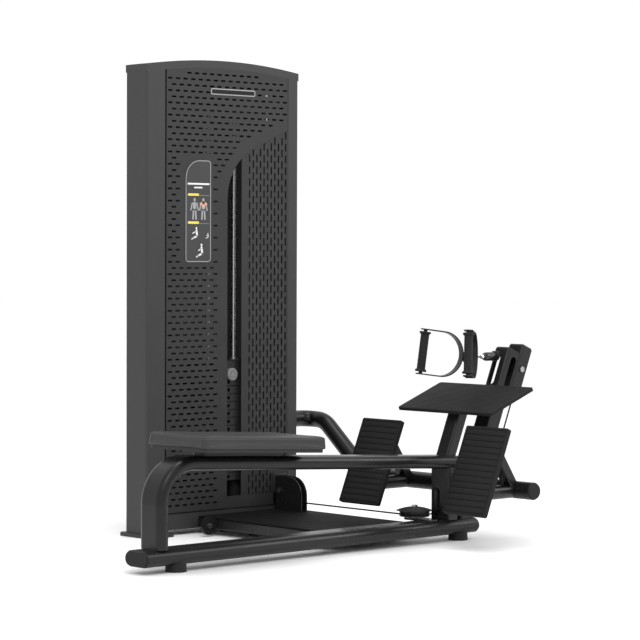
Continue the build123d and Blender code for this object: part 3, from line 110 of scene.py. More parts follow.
def make_material(name, colour, rough, metallic=0.0, tone=0.12, tone_scale=7.0, stretch=(1, 1, 1),
                  grain_scale=1400.0, grain=0.12, grain_depth=0.0004, cells=False, wear=0.0,
                  rough_spread=0.06, coat=0.0, sheen=0.0, specular=0.5):
    """A finish with uneven tone and roughness, a fine grain, and edges rubbed lighter by `wear`."""
    material = bpy.data.materials.new(name)
    material.use_nodes = True
    tree = material.node_tree
    link = tree.links.new
    shader = next(n for n in tree.nodes if n.type == "BSDF_PRINCIPLED")
    shader.inputs["Metallic"].default_value = metallic
    shader.inputs["Coat Weight"].default_value = coat
    shader.inputs["Coat Roughness"].default_value = 0.25
    shader.inputs["Sheen Weight"].default_value = sheen
    shader.inputs["Specular IOR Level"].default_value = specular

    place = add_node(tree, "ShaderNodeTexCoord")
    spread = add_node(tree, "ShaderNodeMapping", scale=stretch)
    link(place.outputs["Object"], spread.inputs["Vector"])

    patches = add_node(tree, "ShaderNodeTexNoise", scale=tone_scale, detail=6.0, roughness=0.6)
    link(spread.outputs["Vector"], patches.inputs["Vector"])
    ramp = add_node(tree, "ShaderNodeValToRGB")
    ramp.color_ramp.elements[0].position, ramp.color_ramp.elements[1].position = 0.3, 0.7
    ramp.color_ramp.elements[0].color = shaded(colour, -tone)
    ramp.color_ramp.elements[1].color = shaded(colour, tone)
    link(patches.outputs["Fac"], ramp.inputs["Fac"])
    paint = ramp.outputs["Color"]
    if wear:
        shape = add_node(tree, "ShaderNodeNewGeometry")
        edges = add_node(tree, "ShaderNodeMapRange", from_min=0.53, from_max=0.62, to_max=wear)
        link(shape.outputs["Pointiness"], edges.inputs["Value"])
        rub = add_node(tree, "ShaderNodeMix", data_type="RGBA")
        colour_in = [s for s in rub.inputs if s.type == "RGBA"]
        colour_in[1].default_value = (0.12, 0.12, 0.124, 1)
        link(edges.outputs["Result"], rub.inputs[0])
        link(paint, colour_in[0])
        paint = next(s for s in rub.outputs if s.type == "RGBA")
    link(paint, shader.inputs["Base Color"])

    polish = add_node(tree, "ShaderNodeMapRange", from_min=0.3, from_max=0.7,
                      to_min=max(0.02, rough - rough_spread), to_max=rough + rough_spread)
    link(patches.outputs["Fac"], polish.inputs["Value"])
    link(polish.outputs["Result"], shader.inputs["Roughness"])

    if cells:
        texture = add_node(tree, "ShaderNodeTexVoronoi", scale=grain_scale)
        height = texture.outputs["Distance"]
    else:
        texture = add_node(tree, "ShaderNodeTexNoise", scale=grain_scale, detail=3.0)
        height = texture.outputs["Fac"]
    link(spread.outputs["Vector"], texture.inputs["Vector"])
    bump = add_node(tree, "ShaderNodeBump", strength=grain, distance=grain_depth)
    link(height, bump.inputs["Height"])
    link(bump.outputs["Normal"], shader.inputs["Normal"])
    return material


MATERIALS = {
    "frame_paint": make_material("frame_paint", (0.0045, 0.0045, 0.0048), 0.3, grain=0.05,
                                 grain_scale=700, wear=0.06, specular=0.28),
    "deck_paint": make_material("deck_paint", (0.006, 0.006, 0.0062), 0.7, grain=0.05,
                                grain_scale=700, specular=0.08),
    "tower_paint": make_material("tower_paint", (0.0275, 0.0277, 0.0283), 0.5, grain=0.22,
                                 grain_scale=900, wear=0.12, specular=0.25),
    "cap_plastic": make_material("cap_plastic", (0.008, 0.008, 0.0083), 0.5, grain=0.25,
                                 grain_scale=900, specular=0.2),
    "rubber": make_material("rubber", (0.012, 0.012, 0.012), 0.7, tone=0.2, grain=0.4,
                            grain_scale=700, sheen=0.03, specular=0.25),
    "vinyl": make_material("vinyl", (0.030, 0.030, 0.031), 0.46, tone=0.1, grain=0.55,
                           grain_scale=520, grain_depth=0.0006, cells=True, specular=0.3),
    "board": make_material("board", (0.006, 0.0058, 0.0055), 0.6, tone=0.25, stretch=(1, 14, 14),
                           grain=0.4, grain_scale=160),
    "plate_rubber": make_material("plate_rubber", (0.015, 0.015, 0.0154), 0.65, tone=0.12,
                                  grain=0.25, grain_scale=900, specular=0.12),
    "placard_film": make_material("placard_film", (0.044, 0.044, 0.0455), 0.35, tone=0.04,
                                  grain=0.05, specular=0.3),
    "weight_paint": make_material("weight_paint", (0.008, 0.008, 0.0082), 0.45, tone=0.2,
                                  grain=0.5, grain_scale=500, wear=0.1, specular=0.3),
    "steel": make_material("steel", (0.42, 0.42, 0.43), 0.28, metallic=1.0, tone=0.06,
                           stretch=(1, 1, 20), grain=0.15, grain_scale=500),
    "knob_plastic": make_material("knob_plastic", (0.15, 0.15, 0.154), 0.28, tone=0.06, grain=0.08,
                                  coat=0.4),
    "pulley_nylon": make_material("pulley_nylon", (0.010, 0.010, 0.0104), 0.4, tone=0.12,
                                  grain=0.2, grain_scale=600, specular=0.3),
    "cable_coat": make_material("cable_coat", (0.006, 0.006, 0.006), 0.3, tone=0.1, grain=0.15,
                                specular=0.35),
    "chrome": make_material("chrome", (0.72, 0.72, 0.73), 0.08, metallic=1.0, tone=0.04, grain=0.03,
                            rough_spread=0.03),
    "handle_paint": make_material("handle_paint", (0.0055, 0.0055, 0.0057), 0.38, grain=0.2, wear=0.08,
                                  specular=0.25),
}


BALL_SHOWS = 0.009                # the bare ball's share of the swivel, along X


def make_swivel_finish():
    """Dark body and bright ball: the finish changes along X where the ball leaves its socket."""
    material = MATERIALS["chrome"].copy()
    material.name = "swivel_finish"
    tree = material.node_tree
    link = tree.links.new
    shader = next(n for n in tree.nodes if n.type == "BSDF_PRINCIPLED")
    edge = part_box("swivel")[0][0] + BALL_SHOWS
    place = next(n for n in tree.nodes if n.type == "TEX_COORD")
    split = add_node(tree, "ShaderNodeSeparateXYZ")
    link(place.outputs["Object"], split.inputs["Vector"])
    body = add_node(tree, "ShaderNodeMapRange", from_min=edge - 0.0005, from_max=edge + 0.0005)
    link(split.outputs["X"], body.inputs["Value"])
    bare = add_node(tree, "ShaderNodeMath", operation="SUBTRACT")
    bare.inputs[0].default_value = 1.0
    link(body.outputs["Result"], bare.inputs[1])
    link(bare.outputs["Value"], shader.inputs["Metallic"])
    mix = add_node(tree, "ShaderNodeMix", data_type="RGBA")
    colours = [socket for socket in mix.inputs if socket.type == "RGBA"]
    link(body.outputs["Result"], mix.inputs[0])
    link(shader.inputs["Base Color"].links[0].from_socket, colours[0])
    colours[1].default_value = (0.012, 0.012, 0.0125, 1)
    link(next(socket for socket in mix.outputs if socket.type == "RGBA"), shader.inputs["Base Color"])
    return material


SIGN_WHITE = make_material("sign_white", (0.75, 0.75, 0.74), 0.4, tone=0.03, grain=0.05)
SIGN_GREY = make_material("sign_grey", (0.30, 0.30, 0.31), 0.4, tone=0.05, grain=0.05)
SIGN_YELLOW = make_material("sign_yellow", (0.85, 0.62, 0.08), 0.4, tone=0.04, grain=0.05)
SIGN_TAN = make_material("sign_tan", (0.62, 0.36, 0.24), 0.45, tone=0.05, grain=0.05)
THREAD = make_material("thread", (0.05, 0.05, 0.052), 0.75, tone=0.2, grain=0.6, grain_scale=1500)


def paint_frame():
    """Each CAD node takes the material of its slot in the record."""
    for part in frame["record"]["subparts"]:
        data = nodes[part["node"]].data
        data.materials.clear()
        data.materials.append(MATERIALS[part["material_slot"]])
    nodes["swivel"].data.materials[0] = make_swivel_finish()
    nodes["deck_plate"].data.materials[0] = MATERIALS["deck_paint"]


# ---- mesh helpers ------------------------------------------------------------------------------
def add_piece(name, bm, body, slot, material=None, smooth=radians(35), stands_for=()):
    """The bmesh as an object that rides on a body and may stand for CAD nodes."""
    bmesh.ops.recalc_face_normals(bm, faces=bm.faces)
    data = bpy.data.meshes.new(name)
    bm.to_mesh(data)
    bm.free()
    return finish_piece(bpy.data.objects.new(name, data), body, slot, material, smooth, stands_for)


def finish_piece(piece, body, slot, material=None, smooth=radians(35), stands_for=()):
    """Links the object, shades it, and puts it on its body."""
    if piece.name not in scene.collection.objects:
        scene.collection.objects.link(piece)
    piece.data.materials.clear()
    piece.data.materials.append(material or MATERIALS[slot])
    piece.data.shade_smooth()
    if smooth:
        piece.data.set_sharp_from_angle(angle=smooth)
    if body:
        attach(piece, body)
    if stands_for:
        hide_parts(*stands_for)
    return piece


def rounded_outline(width, length, radius, steps=6):
    """Points round a rectangle with rounded corners, centred on (0, 0)."""
    points = []
    for quarter, (sx, sy) in enumerate(((1, 1), (-1, 1), (-1, -1), (1, -1))):
        cx, cy = sx * (width / 2 - radius), sy * (length / 2 - radius)
        for i in range(steps + 1):
            a = pi / 2 * (quarter + i / steps)
            points.append((cx + radius * cos(a), cy + radius * sin(a)))
    return points


def add_rings(bm, rings, close_ends=True):
    """Faces between rings of the same number of points, with the two ends filled."""
    loops = [[bm.verts.new(p) for p in ring] for ring in rings]
    for low, high in zip(loops, loops[1:]):
        for i, vert in enumerate(low):
            after = (i + 1) % len(low)
            bm.faces.new((vert, low[after], high[after], high[i]))
    if close_ends:
        bm.faces.new(loops[0][::-1])
        bm.faces.new(loops[-1])
    return loops


def add_slab(bm, place, width, length, z0, z1, radius, edge=0.001):
    """A closed slab with rounded corners, its upper edge rounded over by `edge`."""
    rings = []
    for inset, z in ((0, z0), (0, z1 - edge), (edge * 0.3, z1 - edge * 0.3), (edge, z1)):
        outline = rounded_outline(width - 2 * inset, length - 2 * inset, max(radius - inset, 0.0003))
        rings.append([place @ Vector((x, y, z)) for x, y in outline])
    add_rings(bm, rings)


def add_tube(bm, points, radius, sides=16, closed=False):
    """A tube along points; each ring stands across the path."""
    rings = []
    count = len(points)
    side = None
    for i, point in enumerate(points):
        if closed:
            ahead = points[(i + 1) % count] - points[i - 1]
        else:
            ahead = points[min(i + 1, count - 1)] - points[max(i - 1, 0)]
        ahead.normalize()
        if side is None:
            side = ahead.orthogonal().normalized()
        side = (side - ahead * side.dot(ahead)).normalized()
        over = ahead.cross(side)
        rings.append([point + (side * cos(2 * pi * k / sides) + over * sin(2 * pi * k / sides)) * radius
                      for k in range(sides)])
    if closed:
        rings.append(rings[0])
    add_rings(bm, rings, close_ends=not closed)
    if closed:
        bmesh.ops.remove_doubles(bm, verts=bm.verts, dist=1e-6)


def middle(node):
    """The middle of a CAD node's box."""
    low, high = (Vector(c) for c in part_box(node))
    return (low + high) / 2


def leaning(node, ahead, outward):
    """Axes on a slab whose face looks outward, with the slab's own length along `ahead`."""
    across = ahead.cross(outward)
    turn = Matrix((across, ahead, outward)).transposed().to_4x4()
    return Matrix.Translation(middle(node)) @ turn


# ---- perforated panels -------------------------------------------------------------------------
SHEET = 0.002
SLOT_GRID = (0.0156, 0.01917)     # half the panel's pitch along X, and its row pitch along Z
SLOT_LONG, SLOT_THICK = 0.0195, 0.0058
GUARD_SLOT_LONG = 0.027
SLOT_FIRST = (0.0146, 0.0226)     # from the panel's lower left corner to the first slot
WINDOW_SIDE, WINDOW_SILL = 0.252, 0.038   # from the panel's lower left corner to the window
WINDOW_TOP, WINDOW_SLOPE, WINDOW_CORNER = 0.185, radians(24.6), 0.175
WINDOW_BAND = 0.034               # the plain band round the window
SIGN_BAND = 0.010                 # the plain margin round a sign
NOTCH_WIDE, NOTCH_HIGH = 0.042, 0.100     # the notch for the low pulley, in panel and guard
CAP_RISE = 0.024                  # the arch's rise over the cap's whole width
END_STEPS = 5                     # facets in a slot's round end
ARCH_STEPS, CORNER_STEPS = 24, 20
SLOT_TO_SIDE, SLOT_TO_ARCH = 0.002, 0.014     # least margins of the panel's slots
SLOT_TO_NOTCH, SLOT_ABOVE_NOTCH = 0.008, 0.012
GUARD_FIRST = (0.0055, 0.030)     # from the guard's lower right corner to its first slot
GUARD_LEFT, GUARD_TOP, GUARD_ABOVE_NOTCH = 0.026, 0.004, 0.006


def capsule(x, z, long, thick, upright=False):
    """Points round a slot with round ends."""
    reach = (long - thick) / 2
    points = []
    for end in (1, -1):
        for i in range(END_STEPS + 1):
            a = (-pi / 2 if end > 0 else pi / 2) + pi * i / END_STEPS
            u, v = end * reach + thick / 2 * cos(a), thick / 2 * sin(a)
            points.append((x - v, z + u) if upright else (x + u, z + v))
    return points


def sheet_from_outlines(name, outlines, y_front, y_back):
    """A flat sheet between two Y planes, filled inside the first outline and outside the others."""
    curve = bpy.data.curves.new(name + "_outline", "CURVE")
    curve.dimensions, curve.fill_mode = "2D", "BOTH"
    curve.extrude = abs(y_back - y_front) / 2
    for outline in outlines:
        spline = curve.splines.new("POLY")
        spline.points.add(len(outline) - 1)
        for point, (x, z) in zip(spline.points, outline):
            point.co = (x, z, 0, 1)
        spline.use_cyclic_u = True
    source = bpy.data.objects.new(name + "_outline", curve)
    scene.collection.objects.link(source)
    bpy.context.view_layer.update()
    data = bpy.data.meshes.new_from_object(source.evaluated_get(bpy.context.evaluated_depsgraph_get()))
    bpy.data.objects.remove(source)
    bm = bmesh.new()
    bm.from_mesh(data)
    bpy.data.meshes.remove(data)
    bmesh.ops.remove_doubles(bm, verts=bm.verts, dist=1e-6)
    centre = (y_front + y_back) / 2
    for vert in bm.verts:
        x, z, depth = vert.co
        vert.co = (x, centre + depth, z)
    return bm


def window_outline(x0, z0, x1, z1, grow=0.0):
    """The window's corner points, from its sill round the slanting top; grow moves the edges out."""
    left = x0 + WINDOW_SIDE - grow
    sill = z0 + WINDOW_SILL - grow
    top = z1 - WINDOW_TOP + grow / cos(WINDOW_SLOPE)
    slope = tan(WINDOW_SLOPE)
    corner_z = top - (x1 - left) * slope
    # the round corner joins the upright side to the slanting top
    turn = pi / 2 - WINDOW_SLOPE
    radius = WINDOW_CORNER + grow
    cut = radius * tan(turn / 2)
    cx, cz = left + radius, corner_z - cut
    arc = [(cx + radius * cos(a), cz + radius * sin(a))
           for a in (pi - turn * i / CORNER_STEPS for i in range(CORNER_STEPS + 1))]
    return [(left, sill)] + arc + [(x1, top), (x1, sill)]


def inside(x, z, outline):
    """Whether the point is inside the closed outline."""
    hit = False
    for (ax, az), (bx, bz) in zip(outline, outline[1:] + outline[:1]):
        if (az > z) != (bz > z) and x < ax + (z - az) * (bx - ax) / (bz - az):
            hit = not hit
    return hit


def arch_height(x):
    """The top of the front panel at x, which follows the cap's arch."""
    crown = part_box("front_panel")[1][2]
    (cap0, _, _), (cap1, _, _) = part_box("tower_cap")
    half = (cap1 - cap0) / 2
    radius = (half ** 2 + CAP_RISE ** 2) / (2 * CAP_RISE)
    return crown - (radius - sqrt(radius ** 2 - (x - (cap0 + cap1) / 2) ** 2))


def slot_rows(x0, z0, x1, z1):
    """The slot grid's places: every second cell of a fine grid, so that the rows are staggered."""
    pitch_x, pitch_z = SLOT_GRID
    columns = int((x1 - x0 - SLOT_FIRST[0]) / pitch_x) + 1
    rows = int((z1 - z0 - SLOT_FIRST[1]) / pitch_z) + 1
    for row in range(rows):
        for column in range(columns):
            if (row + column) % 2 == 0:
                yield x0 + SLOT_FIRST[0] + column * pitch_x, z0 + SLOT_FIRST[1] + row * pitch_z


def notch_box():
    """Left edge and top of the notch for the low pulley."""
    return middle("pulley_low").x - NOTCH_WIDE / 2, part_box("front_panel")[0][2] + NOTCH_HIGH


def make_front_panel():
    """The panel beside and above the window, with staggered level slots and a plain band."""
    (x0, y0, z0), (x1, y1, z1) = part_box("front_panel")
    (sx0, _, sz0), (sx1, _, sz1) = sign_boxes()[0]
    across = [x1 - (x1 - x0) * i / ARCH_STEPS for i in range(ARCH_STEPS + 1)]
    edge = [(x, arch_height(x)) for x in across]
    window = window_outline(x0, z0, x1, z1)
    notch = notch_box()
    outline = [(x0, z0), (notch[0], z0), (notch[0], notch[1]), (x1, notch[1])]
    outline += [(x1, window[0][1]), window[0]] + window[1:-1] + edge
    outline = [p for i, p in enumerate(outline) if i == 0 or Vector(p) != Vector(outline[i - 1])]
    band = window_outline(x0, z0, x1 + 0.2, z1 + 0.2 * tan(WINDOW_SLOPE), grow=WINDOW_BAND)
    slots = []
    reach = SLOT_LONG / 2
    for x, z in slot_rows(x0, z0, x1, z1):
        ends = ((x - reach, z), (x + reach, z))
        arch = min(arch_height(x - reach), arch_height(x + reach))
        if x + reach > x1 - SLOT_TO_SIDE or z + SLOT_TO_ARCH > arch:
            continue
        by_notch = z < notch[1] + SLOT_ABOVE_NOTCH and x + reach > notch[0] - SLOT_TO_NOTCH
        if by_notch or any(inside(u, v, band) for u, v in ends):
            continue
        beside = x + reach > sx0 - SIGN_BAND and x - reach < sx1 + SIGN_BAND
        if beside and sz0 - SIGN_BAND < z < sz1 + SIGN_BAND:
            continue
        slots.append(capsule(x, z, SLOT_LONG, SLOT_THICK))
    bm = sheet_from_outlines("front_panel_sheet", [outline] + slots, y0, y1)
    add_piece("front_panel_sheet", bm, "frame", "tower_paint", stands_for=["front_panel"])


def make_window_guard():
    """The guard behind the window, with staggered upright slots."""
    (x0, y0, z0), (x1, y1, z1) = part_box("window_guard")
    slope = tan(WINDOW_SLOPE)
    notch_x0, notch_z = notch_box()
    notch_x1 = notch_x0 + NOTCH_WIDE
    outline = [(x0, z0), (notch_x0, z0), (notch_x0, notch_z), (notch_x1, notch_z), (notch_x1, z0), (x1, z0),
               (x1, z1), (x0, z1 - (x1 - x0) * slope)]
    slots = []
    reach = GUARD_SLOT_LONG / 2
    pitch_x, pitch_z = SLOT_GRID
    for column in range(int((x1 - x0) / pitch_x) - 1):
        x = x1 - GUARD_FIRST[0] - column * pitch_x
        if x < x0 + GUARD_LEFT:
            continue
        over_notch = notch_x0 - SLOT_TO_NOTCH < x < notch_x1 + SLOT_TO_NOTCH
        top = z1 - (x1 - x) * slope - GUARD_TOP
        for row in range(int((z1 - z0) / pitch_z)):
            z = z0 + GUARD_FIRST[1] + row * pitch_z
            if (row + column) % 2 == 0 or z + reach > top:
                continue
            if over_notch and z - reach < notch_z + GUARD_ABOVE_NOTCH:
                continue
            slots.append(capsule(x, z, GUARD_SLOT_LONG, SLOT_THICK, upright=True))
    bm = sheet_from_outlines("window_guard_sheet", [outline] + slots, y0, y1)
    add_piece("window_guard_sheet", bm, "frame", "tower_paint", stands_for=["window_guard"])


# ---- signs -------------------------------------------------------------------------------------
BADGE_REACH = 0.1                 # from the signs' top down to between the badge and the placard
INK = 0.0003                      # thickness of the printed layer


def sign_boxes():
    """The placard's and the badge's boxes, from the vertices of their shared node."""
    points = [Vector(v.co) for v in nodes["placards"].data.vertices]
    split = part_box("placards")[1][2] - BADGE_REACH
    boxes = []
    for group in ([p for p in points if p.z < split], [p for p in points if p.z >= split]):
        boxes.append(tuple(tuple(pick(p[k] for p in group) for k in range(3)) for pick in (min, max)))
    return boxes


def sign_outline(x0, z0, x1, z1, corner, big_corner=None):
    """A sign's outline seen from the front; its upper left corner can be a larger arc."""
    points = []
    corners = ((x1, z1, corner, 0), (x0, z1, big_corner or corner, 1), (x0, z0, corner, 2),
               (x1, z0, corner, 3))
    for x, z, radius, quarter in corners:
        cx = x - radius if quarter in (0, 3) else x + radius
        cz = z - radius if quarter in (0, 1) else z + radius
        for i in range(9):
            a = pi / 2 * (quarter + i / 8)
            points.append((cx + radius * cos(a), cz + radius * sin(a)))
    return points


def add_stroke(bm, start, end, width, y0, y1):
    """A round-ended stroke of a pictogram, between two Y planes."""
    start, end = Vector(start), Vector(end)
    turn = atan2(end[1] - start[1], end[0] - start[0])
    points = []
    for centre, base in ((end, turn - pi / 2), (start, turn + pi / 2)):
        for i in range(7):
            a = base + pi * i / 6
            points.append((centre[0] + width / 2 * cos(a), centre[1] + width / 2 * sin(a)))
    add_rings(bm, [[(x, y, z) for x, z in points] for y in (y1, y0)])


def standing_figure(bm, u, v, size, y0, y1):
    """A plain figure that stands: head, trunk, arms and legs."""
    def at(a, b):
        return u + a * size, v + b * size
    add_stroke(bm, at(0, 0.90), at(0, 0.93), 0.13 * size, y0, y1)
    add_stroke(bm, at(0, 0.50), at(0, 0.72), 0.20 * size, y0, y1)
    for way in (-1, 1):
        add_stroke(bm, at(way * 0.14, 0.76), at(way * 0.22, 0.45), 0.07 * size, y0, y1)
        add_stroke(bm, at(way * 0.06, 0.46), at(way * 0.09, 0.04), 0.09 * size, y0, y1)


def seated_figure(bm, u, v, size, y0, y1, reach):
    """A plain figure that sits and pulls: trunk, thighs, shins, and arms that reach forward."""
    def at(a, b):
        return u + a * size, v + b * size
    add_stroke(bm, at(0.02, 0.98), at(0.02, 1.0), 0.18 * size, y0, y1)
    add_stroke(bm, at(0.10, 0.30), at(0.02, 0.78), 0.20 * size, y0, y1)
    add_stroke(bm, at(0.10, 0.28), at(-0.34, 0.10), 0.15 * size, y0, y1)
    add_stroke(bm, at(-0.34, 0.10), at(-0.52, 0.0), 0.10 * size, y0, y1)
    add_stroke(bm, at(0.0, 0.70), at(-reach, 0.52), 0.08 * size, y0, y1)


def make_signs():
    """The instruction placard with its plain pictograms, and the plain badge above it."""
    (x0, y0, z0), (x1, y1, z1) = sign_boxes()[0]
    face = y0 + INK
    width, height = x1 - x0, z1 - z0

    def sheet(name, outlines, low, high, material, slot="placard_film", stands_for=()):
        bm = sheet_from_outlines(name, outlines, low, high)
        add_piece(name, bm, "frame", slot, material, stands_for=stands_for)

    big, small, rim = width * 0.55, width * 0.11, 0.0026
    sheet("placard_sheet", [sign_outline(x0, z0, x1, z1, small, big)], face, y1, MATERIALS["placard_film"],
          stands_for=["placards"])
    sheet("placard_rim", [sign_outline(x0, z0, x1, z1, small, big),
                          sign_outline(x0 + rim, z0 + rim, x1 - rim, z1 - rim, small - rim, big - rim)],
          y0, face, SIGN_GREY)

    def strokes(name, material, draw):
        bm = bmesh.new()
        draw(bm)
        add_piece(name, bm, "frame", "placard_film", material)

    def at(u, v):
        """A place on the placard, as shares of its width from the left and its height from the top."""
        return x0 + width * u, z1 - height * v

    def headings(bm):
        for u0, u1, v, thick in ((0.10, 0.92, 0.232, 0.0055), (0.35, 0.64, 0.268, 0.0045)):
            add_stroke(bm, at(u0, v), at(u1, v), thick, y0, face)

    def bars(bm):
        for v in (0.338, 0.613):
            add_stroke(bm, at(0.12, v), at(0.49, v), 0.0075, y0, face)

    def rules(bm):
        for v in (0.346, 0.622):
            add_stroke(bm, at(0.53, v), at(0.92, v), 0.0010, y0, face)
        standing_figure(bm, *at(0.35, 0.585), height * 0.215, y0, face)
        standing_figure(bm, *at(0.70, 0.585), height * 0.215, y0, face)

    def shoulders(bm):
        u, v = at(0.70, 0.585)
        size = height * 0.215
        for way in (-1, 1):
            add_stroke(bm, (u, v + 0.80 * size), (u + way * 0.17 * size, v + 0.72 * size), 0.11 * size,
                       y0 - INK / 2, face)
        add_stroke(bm, (u, v + 0.62 * size), (u, v + 0.78 * size), 0.14 * size, y0 - INK / 2, face)

    def exercise(bm):
        seated_figure(bm, *at(0.42, 0.775), height * 0.11, y0, face, 0.42)
        seated_figure(bm, *at(0.88, 0.768), height * 0.05, y0, face, 0.40)
        seated_figure(bm, *at(0.62, 0.950), height * 0.12, y0, face, 0.30)

    strokes("placard_headings", SIGN_WHITE, headings)
    strokes("placard_bars", SIGN_YELLOW, bars)
    strokes("placard_body_chart", SIGN_GREY, rules)
    strokes("placard_shoulders", SIGN_TAN, shoulders)
    strokes("placard_exercise", SIGN_WHITE, exercise)

    (x0, y0, z0), (x1, y1, z1) = sign_boxes()[1]
    corner = (z1 - z0) * 0.3
    sheet("badge_sheet", [sign_outline(x0, z0, x1, z1, corner)], y0 + INK, y1, SIGN_GREY)
    inset = (z1 - z0) * 0.17
    sheet("badge_face", [sign_outline(x0 + inset, z0 + inset, x1 - inset, z1 - inset, corner * 0.6)],
          y0, y0 + INK, MATERIALS["cap_plastic"])


# ---- seat pad ----------------------------------------------------------------------------------
SEAT_SLOPE, SEAT_THICK = radians(3.06), 0.036
SEAT_CORNER, SEAT_START_INSET, SEAT_VOXEL = 0.014, 0.001, 0.004
SEAT_SWELL = 0.0025               # the furthest that the cloth may move a point
SEAT_PRESSURE, SEAT_FRAMES = 4.0, 20
SEAT_HELD = 0.003                 # what lies lower than this above the underside stays put
WELT_R, WELT_BELOW_TOP = 0.0011, 0.0085
WELT_STEP, WELT_LOOK = 0.012, 0.03        # spacing of the welt's points, and how far out they look from


def swell(piece, floor_z):
    """Blows the closed mesh up as cloth for a few frames; its underside stays where it rests."""
    data = piece.data
    rest = [v.co.copy() for v in data.vertices]
    held = piece.vertex_groups.new(name="held")
    held.add([v.index for v in data.vertices if v.co.z < floor_z + SEAT_HELD], 1.0, "REPLACE")
    cloth = piece.modifiers.new("cloth", "CLOTH")
    cloth.settings.quality = 5
    cloth.settings.mass = 0.3
    cloth.settings.tension_stiffness = cloth.settings.compression_stiffness = 15
    cloth.settings.shear_stiffness = 5
    cloth.settings.bending_stiffness = 0.5
    cloth.settings.use_pressure = True
    cloth.settings.uniform_pressure_force = SEAT_PRESSURE
    cloth.settings.vertex_group_mass = "held"
    cloth.settings.effector_weights.gravity = 0
    cloth.point_cache.frame_start, cloth.point_cache.frame_end = 1, SEAT_FRAMES
    for step in range(1, SEAT_FRAMES + 1):
        scene.frame_set(step)
    moved = piece.evaluated_get(bpy.context.evaluated_depsgraph_get()).data
    after = [v.co.copy() for v in moved.vertices]
    piece.modifiers.remove(cloth)
    scene.frame_set(1)
    for vert, was, now in zip(data.vertices, rest, after):
        shift = now - was
        if shift.length > SEAT_SWELL:
            shift.length = SEAT_SWELL
        vert.co = was + shift
    piece.vertex_groups.clear()


def apply_modifiers(piece):
    """The evaluated mesh becomes the object's own."""
    bpy.context.view_layer.update()
    shaped = bpy.data.meshes.new_from_object(piece.evaluated_get(bpy.context.evaluated_depsgraph_get()))
    piece.modifiers.clear()
    piece.data = shaped


def make_seat_pad():
    """The upholstered pad, which slopes with the rail: a crisp, barely crowned slab with a welt."""
    low, high = (Vector(c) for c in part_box("seat_pad"))
    slope_length = (high.x - low.x - SEAT_THICK * sin(SEAT_SLOPE)) / cos(SEAT_SLOPE)
    size = Vector((slope_length, high.y - low.y, SEAT_THICK))
    ahead = Vector((cos(SEAT_SLOPE), 0, -sin(SEAT_SLOPE)))
    upward = Vector((sin(SEAT_SLOPE), 0, cos(SEAT_SLOPE)))
    place = Matrix.Translation((low + high) / 2) @ Matrix((ahead, (0, 1, 0), upward)).transposed().to_4x4()
    bottom, top = -size.z / 2, size.z / 2
    bm = bmesh.new()
    inset = SEAT_START_INSET
    rings = []
    crown = ((inset, bottom), (inset, top * 0.2), (inset + 0.0003, top - 0.005),
             (inset + 0.0015, top - 0.0018), (inset + 0.004, top - 0.0006))
    for into, z in crown:
        outline = rounded_outline(size.x - 2 * into, size.y - 2 * into, SEAT_CORNER)
        rings.append([Vector((x, y, z)) for x, y in outline])
    add_rings(bm, rings)
    data = bpy.data.meshes.new("seat_upholstery")
    bm.to_mesh(data)
    bm.free()
    pad = bpy.data.objects.new("seat_upholstery", data)
    scene.collection.objects.link(pad)
    remesh = pad.modifiers.new("remesh", "REMESH")
    remesh.mode, remesh.voxel_size = "VOXEL", SEAT_VOXEL
    apply_modifiers(pad)
    swell(pad, bottom)
    soften = pad.modifiers.new("soften", "SMOOTH")
    soften.factor, soften.iterations = 0.5, 1
    finer = pad.modifiers.new("finer", "SUBSURF")
    finer.levels = finer.render_levels = 1
    apply_modifiers(pad)
    for vert in pad.data.vertices:
        vert.co.z = max(vert.co.z, bottom)

    # the welt lies on the swollen side, so it is found by looking inwards at the pad
    bm = bmesh.new()
    bm.from_mesh(pad.data)
    surface = BVHTree.FromBMesh(bm)
    bm.free()
    path = []
    outline = rounded_outline(size.x, size.y, SEAT_CORNER, steps=8)
    for (ax, ay), (bx, by) in zip(outline, outline[1:] + outline[:1]):
        pieces = max(1, int(hypot(bx - ax, by - ay) / WELT_STEP))
        for i in range(pieces):
            x, y = ax + (bx - ax) * i / pieces, ay + (by - ay) * i / pieces
            inward = Vector((-x, -y, 0)).normalized()
            start = Vector((x, y, top - WELT_BELOW_TOP)) - inward * WELT_LOOK
            hit = surface.ray_cast(start, inward)[0]
            if hit:
                path.append(place @ hit)
    pad.data.transform(place)
    finish_piece(pad, "frame", "vinyl", smooth=None, stands_for=["seat_pad"])
    bm = bmesh.new()
    add_tube(bm, path, WELT_R, sides=8, closed=True)
    add_piece("seat_welt", bm, "frame", "vinyl", THREAD)


# ---- ribbed plates -----------------------------------------------------------------------------
MAST_LEAN, TRAY_TILT = radians(22.5), radians(20.5)
FOOT_PLATE = (0.174, 0.280, 0.014)
TRAY_PLATE = (0.400, 0.208, 0.010)
SUNK = 0.0005                     # how far the border and ribs reach into the plate
FOOT_RIBS = {"radius": 0.006, "rib_pitch": 0.0185, "rib_height": 0.0022, "border": 0.007}
TRAY_RIBS = {"radius": 0.008, "rib_pitch": 0.009, "rib_height": 0.0012, "border": 0.008}


